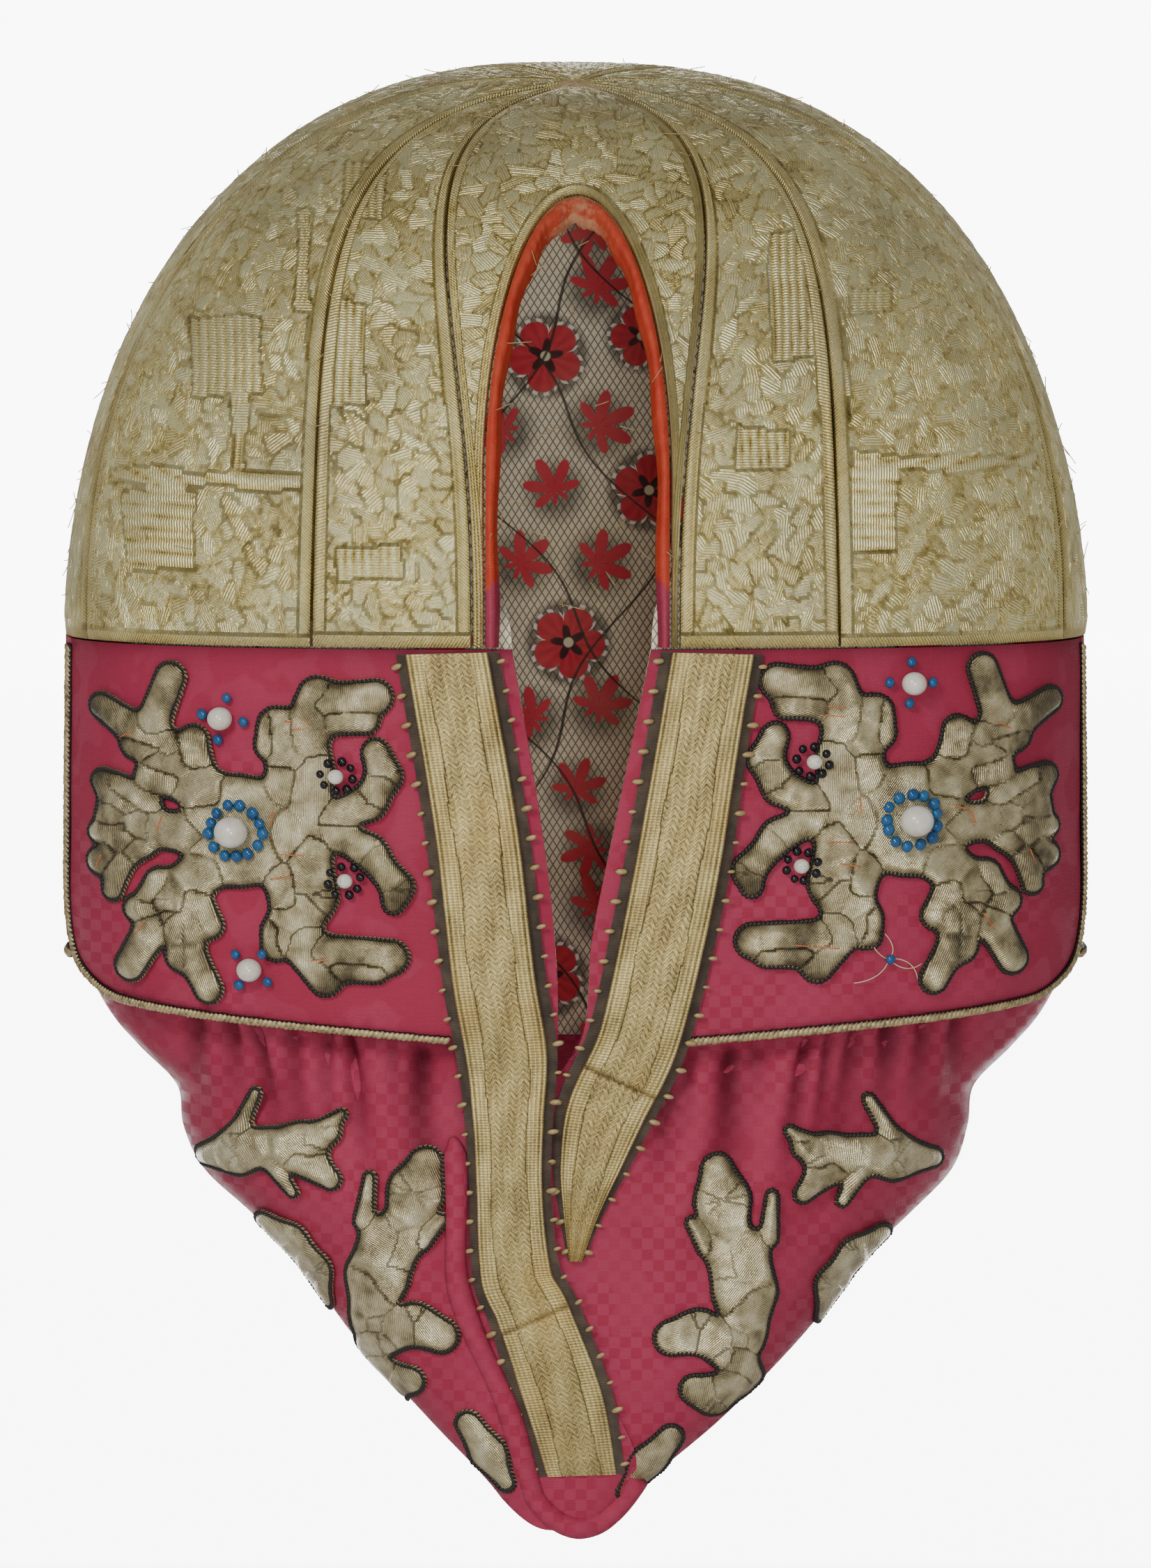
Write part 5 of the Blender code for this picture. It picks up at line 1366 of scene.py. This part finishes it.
def motif(name, strokes, side, x, z, turn, lifted, node, seed):
    """One motif: its padded cloth and its edging cord. It returns where a point on it lies."""
    cos, sin = math.cos(math.radians(turn)), math.sin(math.radians(turn))
    base = 0.35 if lifted else 0.25

    def placed(u, w, out):
        across = x - side * (u * cos - w * sin) * MM
        level = z + (u * sin + w * cos) * MM
        lift = lift_of(side, across, level) if lifted else 0
        return body_out(body_turn(across, level), level, lift + (out + base) * MM)

    cell = 0.45
    low = (strokes[:, [0, 1, 3, 4]].reshape(-1, 2) - strokes[:, [2, 5]].max()).min(0) - 1
    high = (strokes[:, [0, 1, 3, 4]].reshape(-1, 2) + strokes[:, [2, 5]].max()).max(0) + 1
    u, w = np.meshgrid(*(np.arange(low[i], high[i], cell) for i in (0, 1)), indexing="ij")
    each, place = stroke_field(strokes, u, w)
    value = webbed(each)
    grad_u, grad_w = np.gradient(value, cell)
    steep = np.maximum(grad_u**2 + grad_w**2, 0.2)
    inside = value < 0
    kept = inside[:-1, :-1] | inside[1:, :-1] | inside[1:, 1:] | inside[:-1, 1:]
    rim = ~inside
    u = np.where(rim, u - value * grad_u / steep, u)
    w = np.where(rim, w - value * grad_w / steep, w)
    deep = np.clip(-value / 2.0, 0, 1)
    pad = np.sqrt(1 - (1 - deep) ** 2)
    order = np.argsort(each, axis=0)[:2]
    first, second = np.take_along_axis(each, order, 0)
    along = np.take_along_axis(place, order[:1], 0)[0]
    rng = np.random.default_rng(seed)
    tones = rng.uniform(-0.25, 0.25, len(strokes))
    lean = rng.uniform(0, np.pi, len(strokes))[order[0]]
    overlap = np.exp(-(((second - first) / 0.4) ** 2)) * (second < -0.5)
    overlap = overlap * (np.abs(order[0] - order[1]) > 1)
    crease = np.sin(along / 0.75 + 1.4 * np.sin(u / 2.1 + w / 2.7) + order[0] * 1.7)
    crease = np.clip(crease, -0.2, 1) * deep * (0.35 + 0.65 * np.sin(u / 3.3 + seed) ** 2)
    relief = np.clip(pad * 0.85 + 0.25 * crease - 0.35 * overlap, 0, 1.2)
    thread = (u * np.cos(lean * 0.4) + w * np.sin(lean * 0.4)) * MM
    tips = np.clip((np.hypot(u - u[inside].mean(), w - w[inside].mean()) - 14) / 18, 0, 1)
    mottled = 0.5 + 0.5 * np.sin(u / 2.3 + 1.3 * np.sin(w / 3.1))
    # The tips share is wear. The overlap share darkens the creases where two leaves meet: painted
    # shade.
    age = np.clip(tips * 0.9 * mottled + 0.25 * overlap, 0, 1)
    top = placed(u, w, 1.95 * pad + 0.32 * crease - 0.45 * overlap + 0.05)
    under = placed(u, w, np.full(u.shape, -0.15))

    used = np.zeros(u.shape, bool)
    for di in (0, 1):
        for dj in (0, 1):
            used[di : di + kept.shape[0], dj : dj + kept.shape[1]] |= kept
    index = np.full(u.shape, -1)
    index[used] = np.arange(used.sum())
    corners = (index[:-1, :-1], index[1:, :-1], index[1:, 1:], index[:-1, 1:])
    quads = np.stack([corner[kept] for corner in corners], -1)
    sides = np.concatenate([quads[:, [i, (i + 1) % 4]] for i in range(4)])
    known = set(map(tuple, sides.tolist()))
    rims = [(p, q) for p, q in known if (q, p) not in known]
    count = int(used.sum())
    faces = quads.tolist() + (quads[:, ::-1] + count).tolist()
    faces += [(q, p, p + count, q + count) for p, q in rims]
    fields = {"relief": relief, "thread": thread, "tone": tones[order[0]], "age": age}
    fields = [(title, np.tile(values[used], 2)) for title, values in fields.items()]
    points = np.concatenate((top[used], under[used]))
    cloth = added(name, smooth_solid(name, points, faces, fields))
    dressed(cloth, lame, node, slot="gold_lame")

    paths = []
    for loop in contours(strokes):
        loop = np.concatenate((loop, loop[:2]))
        paths.append(placed(loop[:, 0], loop[:, 1], 0.7))
    bead = ball("edging_unit", 0.62 * MM, (0.85, 0.8, 1.2), (38, 0, 0), (6, 5), hue=-1)
    edging = run_along(name + "_edging", paths, bead, 0.84 * MM, plied, (0.9, 1.1), seed)
    dressed(edging, plied, slot="metal_cord")
    return placed


for strokes, wider in (
    (PALMETTE, 0.1), (SPRAY, 0.15), (TULIP, 0.1), (SIDE_LEAF, 0.0), (TONGUE, 0.0)
):
    strokes[:, [2, 5]] += wider
# Small lobes and petals that only the embroidery shows.
LOBES = np.array((
    (-6.0, 7.0, 3.0, -9.0, 8.6, 2.6), (-16.0, 15.0, 3.6, -21.0, 15.4, 2.6),
    (-18.0, 4.0, 2.4, -24.0, 6.6, 2.6), (-19.0, -4.0, 2.6, -27.0, -8.0, 2.6),
    (-14.0, -17.0, 3.4, -19.5, -16.5, 2.4), (-8.0, -19.0, 2.6, -10.5, -25.0, 2.8),
    (8.0, 8.0, 4.0, 10.0, 12.0, 4.6), (17.5, 22.5, 2.8, 23.5, 22.6, 2.4),
    (9.0, -9.0, 4.0, 11.0, -13.0, 4.4), (8.0, -19.0, 2.8, 7.4, -22.4, 2.2),
    (20.0, -25.2, 2.8, 27.0, -25.6, 2.4), (5.0, 17.0, 2.6, 5.4, 21.4, 2.0),
))
PALMETTE = np.concatenate((PALMETTE, LOBES))
FLAP_MOTIFS = (
    ("tulip_left", TULIP, -1, -59.6, -201.4, 0.0),
    ("tulip_right", TULIP, 1, 56.0, -202.8, -6.0),
    ("spray_left", SPRAY, -1, -38.0, -217.8, 0.0),
    ("spray_right", SPRAY, 1, 34.0, -220.8, 10.0),
    ("tongue_left", TONGUE, -1, -16.6, -259.4, 0.0),
    ("tongue_right", TONGUE, 1, 13.8, -261.8, 8.0),
    ("side_leaf_left", SIDE_LEAF, -1, -53.8, -221.2, 2.0),
    ("side_leaf_right", SIDE_LEAF, 1, 53.0, -223.8, 0.0),
)
palmettes = {}
for side, x, z, turn in ((-1, -64.6 * MM, -138.2 * MM, -2.0), (1, 64.0 * MM, -136.0 * MM, 0.0)):
    hand = "left" if side < 0 else "right"
    palmettes[side] = motif(
        f"lame_palmette_{hand}", PALMETTE, side, x, z, turn, False, f"palmette_{hand}", 11
    )
for number, (name, strokes, side, x, z, turn) in enumerate(FLAP_MOTIFS):
    motif(f"lame_{name}", strokes, side, x * MM, z * MM, turn, True, name, 20 + number)


# Pearls and beads: old glass pearls, a little uneven, each sewn down with pale thread through
# its hole; round them seed beads of blue or black glass. The right lower pearl is gone: one
# blue bead and its loose threads are left.
pearl_glass = Finish("pearl_old_glass", (0.80, 0.76, 0.66), 0.2)
worn = pearl_glass.noise(420, 4)
pearl_glass.wear(
    Base_Color=pearl_glass.mix((worn * 1.8 - 0.6).clamp(), (0.86, 0.83, 0.76), (0.62, 0.50, 0.32)),
    Roughness=0.16 + worn * 0.3,
    Coat_Weight=0.5,
)
pearl_glass.bump(pearl_glass.noise(900, 3), 0.08 * MM, 0.6)
blue_glass = Finish("bead_blue_glass", (0.012, 0.09, 0.24), 0.12)
cloudy = blue_glass.noise(420, 2)
blue_glass.wear(Base_Color=blue_glass.mix(cloudy, (0.004, 0.035, 0.15), (0.03, 0.17, 0.36)))
blue_glass.bump(blue_glass.noise(1400, 2), 0.05 * MM, 0.4)
black_glass = Finish("bead_black_glass", (0.006, 0.006, 0.009), 0.1)
black_glass.wear(Roughness=black_glass.noise(900, 2) * 0.3 + 0.02)
pale_thread = Finish("thread_pale", (0.66, 0.55, 0.33), 0.6)
fibres = pale_thread.noise(800)
pale_thread.wear(Base_Color=pale_thread.mix(fibres, (0.55, 0.40, 0.19), (0.80, 0.70, 0.48)))


def joined(name, solids, finish):
    """One piece of several meshes given as points and faces."""
    points, faces = [], []
    for ring, near in solids:
        start = len(points)
        points += ring.reshape(-1, 3).tolist()
        faces += [[i + start for i in face] for face in near]
    mesh = bpy.data.meshes.new(name)
    mesh.from_pydata(points, [], faces)
    mesh.shade_smooth()
    volume = bmesh.new()
    volume.from_mesh(mesh)
    bmesh.ops.recalc_face_normals(volume, faces=volume.faces)
    volume.to_mesh(mesh)
    volume.free()
    return dressed(added(name, mesh), finish)


PEARLS = (
    # name, diameter, x, z, sides, seed beads round it, their ring's radius and the first's turn
    ("large_pearl", 6.6, 0.0, 0.0, (-1, 1), 13, 5.0, 4),
    ("upper_pearl", 4.9, -4.0, 21.6, (-1,), 4, 4.1, 8),
    ("upper_pearl", 4.9, -0.6, 26.4, (1,), 4, 4.1, 3),
    ("lower_pearl", 4.9, 3.2, -26.6, (-1,), 4, 4.0, 38),
    ("upper_eye_pearl", 3.1, 18.6, 11.6, (-1, 1), 8, 2.9, 10),
    ("lower_eye_pearl", 3.1, 20.6, -8.6, (-1, 1), 8, 2.9, 30),
)
rng = np.random.default_rng(5)
blue_spots, large_blue_spots, black_spots, sewing = [], [], [], []
for side, place in palmettes.items():
    hand = "left" if side < 0 else "right"
    for name, size, u, w, sides, count, ring, turn in PEARLS:
        raised = stroke_field(PALMETTE, np.array(u), np.array(w))[0].min() < size / 2
        base = 2.1 if raised else 0.0
        if side in sides:
            middle = place(np.array(u), np.array(w), np.array(base + size * 0.45))
            title, lean = f"glass_{name}_{hand}", (90, 0, 12 * side)
            mesh = ball(title, size / 2 * MM, (1.0, 0.93, 0.98), lean, (28, 18))
            mesh.shade_smooth()
            mesh.transform(Matrix.Translation(middle))
            dressed(added(title, mesh), pearl_glass, f"{name}_{hand}", slot="pearl")
            across, up = np.array([u - 0.5, u, u + 0.5]), np.array([w, w + 0.2, w])
            top = place(across, up, np.full(3, base + size * 0.9))
            sewing.append(tube(top, 0.12 * MM, 6))
        for number in range(count if side in sides else 0):
            angle = math.radians(turn * side + 360 * number / count) + rng.uniform(-0.07, 0.07)
            reach = ring * rng.uniform(0.95, 1.05)
            at_u, at_w = u + reach * math.cos(angle), w + reach * math.sin(angle)
            bump_up = webbed(stroke_field(PALMETTE, np.array(at_u), np.array(at_w))[0]) < 0.3
            level = 0.9 + (2.0 if bump_up else 0.0)
            spots = {8: black_spots, 13: large_blue_spots}.get(count, blue_spots)
            level += rng.uniform(-0.2, 0.3)
            spots.append(place(np.array(at_u), np.array(at_w), np.array(level)))
lost = palmettes[1]
blue_spots.append(lost(np.array(3.4), np.array(-27.0), np.array(1.0)))
bead = ball("seed_bead", 1.2 * MM, (0.82, 1, 1), (0, 0, 0), (12, 8))
for name, spots, finish, sizes in (
    ("beads_blue_of_rings", large_blue_spots, blue_glass, (0.95, 1.08)),
    ("beads_blue_of_crosses", blue_spots, blue_glass, (0.82, 0.94)),
    ("beads_black", black_spots, black_glass, (0.66, 0.8)),
):
    beads = run_along(name, [spots], bead, None, finish, sizes, 9)
    dressed(beads, finish, slot="pearl")

# Sewing and loose threads: through the pearls, round the lost pearl's bead, on the motifs and over
# the crown, and the metal thread that has sprung into curls beside the left side leaf.
for angle, reach, bend in (
    (0.2, 6.2, 1.4), (2.0, 5.0, -1.2), (2.9, 7.0, 1.8), (4.1, 6.4, -1.6), (5.2, 8.2, 1.0)
):
    t = np.linspace(0, 1, 16)
    u = 3.4 + reach * t * np.cos(angle + bend * t * 0.5)
    w = -27.0 + reach * t * np.sin(angle + bend * t * 0.5)
    arch = 0.25 + 1.1 * np.sin(np.pi * t) * (1 - 0.4 * t)
    sewing.append(tube(lost(u, w, arch), 0.11 * MM, 6))
joined("sewing_threads", sewing, pale_thread)

stitches = []
for side, place in palmettes.items():
    for u, w, angle, length in (
        (12.0, 22.0, 0.1, 4.5), (13.0, 20.4, 0.1, 3.6), (14.0, -24.4, 0.1, 4.0),
        (18.5, -24.0, 0.1, 4.4), (-11.0, 2.2, 0.3, 3.0), (-13.5, 0.5, 1.3, 3.0),
        (8.0, 3.0, 1.5, 3.0), (12.0, -4.0, 0.0, 4.6), (-16.5, -20.0, 1.0, 3.4),
        (-20.0, 17.5, 0.5, 3.6), (10.0, -8.5, 0.2, 3.8), (-25.0, -8.0, 1.2, 3.0),
    ):
        t = np.linspace(-0.5, 0.5, 8)
        u_t, w_t = u + side * 1.5 + length * t * math.cos(angle), w + length * t * math.sin(angle)
        inside = webbed(stroke_field(PALMETTE, u_t, w_t)[0]) < -0.6
        if inside.all():
            stitches.append(tube(place(u_t, w_t, 2.05 + 0 * t), 0.13 * MM, 6))
red_stitches = joined("couching_stitches", stitches, stitch_red)

# The panels' edging: a thick cord of dark silk plied with gold, sewn along each panel's ear edge
# and lower edge and on under the front band.
edge = PANEL_END - 1.9 * MM * 0.7 / HALF_DEPTH
for side, table, hand in ((-1, LEFT_GALLOON, "left"), (1, RIGHT_GALLOON, "right")):
    stop = abs(HALF_WIDTH * from_table(table, 1, drop_of(BAND_BACK_LEVEL))) + RIBBON_WIDTH / 2
    last = body_turn(stop + 1.0 * MM, BAND_BACK_LEVEL)
    z = np.linspace(CROWN_BASE - 2.2 * MM, band_bottom(edge) + 3.0 * MM, 40)
    drop_side = body_out(np.full(40, side * edge), z, 0.75 * MM)
    turn = np.linspace(edge - math.radians(1.4), last, 90)
    below = body_out(side * turn, band_bottom(turn) + 1.2 * MM, 0.75 * MM)
    path = np.concatenate((drop_side, below))
    for _ in range(14):
        path[1:-1] = (path[:-2] + 2 * path[1:-1] + path[2:]) / 4
    unit = ball("cord_unit", 0.98 * MM, (0.95, 0.8, 1.15), (42, 0, 0), (6, 5), hue=1)
    cord = run_along(f"cord_plied_{hand}", [path], unit, 0.98 * MM, plied, (0.93, 1.1), 4)
    dressed(cord, plied, f"cord_{hand}", slot="metal_cord")
past_panel = PANEL_END + 2.3 * MM / HALF_DEPTH
turn = np.linspace(past_panel, 2 * math.pi - past_panel, 200)
path = body_out(turn, np.full(200, BAND_SIDE_LEVEL + 1.3 * MM), 0.75 * MM)
cord = run_along("cord_plied_front", [path], unit, 0.98 * MM, plied, (0.93, 1.1), 5)
dressed(cord, plied, "cord_front", slot="metal_cord")

# Loose ends of the crown's couched gold thread stand out all over it.
rng = np.random.default_rng(12)
hairs = []
for _ in range(420):
    turn, fall = rng.uniform(-2.9, 2.9), rng.uniform(0.04, 0.97)
    length, lean = rng.uniform(1.2, 4.6), rng.uniform(0, 2 * np.pi)
    t = np.linspace(0, 1, 5)
    spread = 70 * math.sin(fall * math.pi / 2) ** 0.8
    turns = turn + length * t * math.cos(lean) / spread
    falls = np.clip(fall + length * t * math.sin(lean) / 150, 0.01, 0.985)
    stand = 0.5 + rng.uniform(0.3, 1.7) * t ** rng.uniform(1, 2)
    hairs.append(tube(crown_out(turns, falls, stand * MM), 0.10 * MM, 4))
hair = joined("gold_thread_ends", hairs, loop_gold)
t = np.linspace(0, 1, 90)
curls = []
for number in range(4):
    angle = t * 2 * math.pi * (1.3 + 0.3 * number) + number
    reach = (2.6 - 0.4 * number) * (0.5 + 0.5 * t)
    x = (-61.0 - 0.6 * number + reach * np.cos(angle)) * MM
    z = (-234.5 + 0.8 * number + reach * np.sin(angle) * 0.8) * MM
    path = body_out(body_turn(x, z), z, (1.6 + number * 0.4 + np.sin(angle)) * MM)
    curls.append(tube(path, 0.13 * MM, 5))
curl = joined("metal_thread_curls", curls, plied)

# The seams meet under a small flat knot of couched thread.
fall = np.linspace(0.0015, 0.02, 10)[None, :]
turn = np.linspace(0, 2 * math.pi, 41)[:-1][:, None]
lift = (0.5 - 16 * fall + 0.1 * np.sin(turn * 9)) * MM
ring = crown_out(turn + 0 * fall, fall + 0 * turn, lift)
index = np.arange(400).reshape(40, 10)
after = np.roll(index, -1, 0)
faces = np.stack((index[:, :-1], index[:, 1:], after[:, 1:], after[:, :-1]), -1)
faces = faces.reshape(-1, 4).tolist()
mesh = bpy.data.meshes.new("gold_apex_knot")
mesh.from_pydata(ring.reshape(-1, 3).tolist(), [], faces + [index[:, 0].tolist()])
mesh.shade_smooth()
knot = added("gold_apex_knot", mesh)
thicken = knot.modifiers.new("wall", "SOLIDIFY")
thicken.thickness = 0.6 * MM
dressed(knot, loop_gold, slot="gold_embroidery")


# The floor and backdrop are one plain white sheet, swept up far behind the headdress, which is
# held up as worn, so that a camera can also stand behind it; the light is a soft one from the
# upper left, with one from the front that reaches into the slit.
floor_level = cad_box[0][2] - 60 * MM
FLOOR_END, BEND, WALL_TOP = 5.0, 0.7, 3.0
profile = [(-3.0, floor_level), (FLOOR_END, floor_level)]
for step in range(1, 13):
    angle = math.pi / 2 * step / 12
    rise = BEND * (1 - math.cos(angle))
    profile.append((FLOOR_END + BEND * math.sin(angle), floor_level + rise))
profile.append((FLOOR_END + BEND, WALL_TOP))
points = [(x, y, z) for x in (-3.0, 3.0) for y, z in profile]
count = len(profile)
faces = [(i, i + 1, i + 1 + count, i + count) for i in range(count - 1)]
sweep = bpy.data.meshes.new("backdrop")
sweep.from_pydata(points, [], faces)
sweep.shade_smooth()
backdrop = added("backdrop", sweep)
paper = Finish("backdrop_paper", (0.93, 0.93, 0.93), 0.9)
aside, away = paper.place("X", "Y")
behind = away.above(470, 160) * (1 - aside.maths("ABSOLUTE").above(400, 120))
paper.wear(Emission_Color=paper.mix(behind, (0, 0, 0), (1, 1, 1)))
paper.shader.inputs["Emission Strength"].default_value = 8.0
sweep.materials.append(paper.material)
backdrop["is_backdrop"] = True

world = bpy.data.worlds.new("studio")
world.use_nodes = True
world.node_tree.nodes["Background"].inputs["Color"].default_value = (1, 1, 1, 1)
world.node_tree.nodes["Background"].inputs["Strength"].default_value = 0.30
bpy.context.scene.world = world
for name, place, size, power in (
    ("key_light", (-0.7, -1.7, 0.75), 0.45, 14),
    ("front_light", (0.12, -2.7, -0.12), 0.4, 20),
):
    lamp = bpy.data.lights.new(name, "AREA")
    lamp.size, lamp.energy = size, power
    light = added(name, lamp)
    light.location = place
    aim = Vector((0, 0, -0.12)) - light.location
    light.rotation_euler = aim.to_track_quat("-Z", "Y").to_euler()

camera_data = bpy.data.cameras.new("camera")
camera = added("camera", camera_data)
target, elevation, reach = Vector((0, 0, -0.1323)), math.radians(3), 4.0
camera.location = target + reach * Vector((0, -math.cos(elevation), math.sin(elevation)))
camera.rotation_euler = (math.pi / 2 - elevation, 0, 0)
camera_data.sensor_fit = "VERTICAL"
camera_data.sensor_height = 36
camera_data.lens = 36 / (0.3029 / (reach - 0.07))
camera_data.clip_end = 20
bpy.context.scene.camera = camera

boxes = {"cad": cad_box, "visual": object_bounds()}
{key: [list(corner) for corner in box] for key, box in boxes.items()}
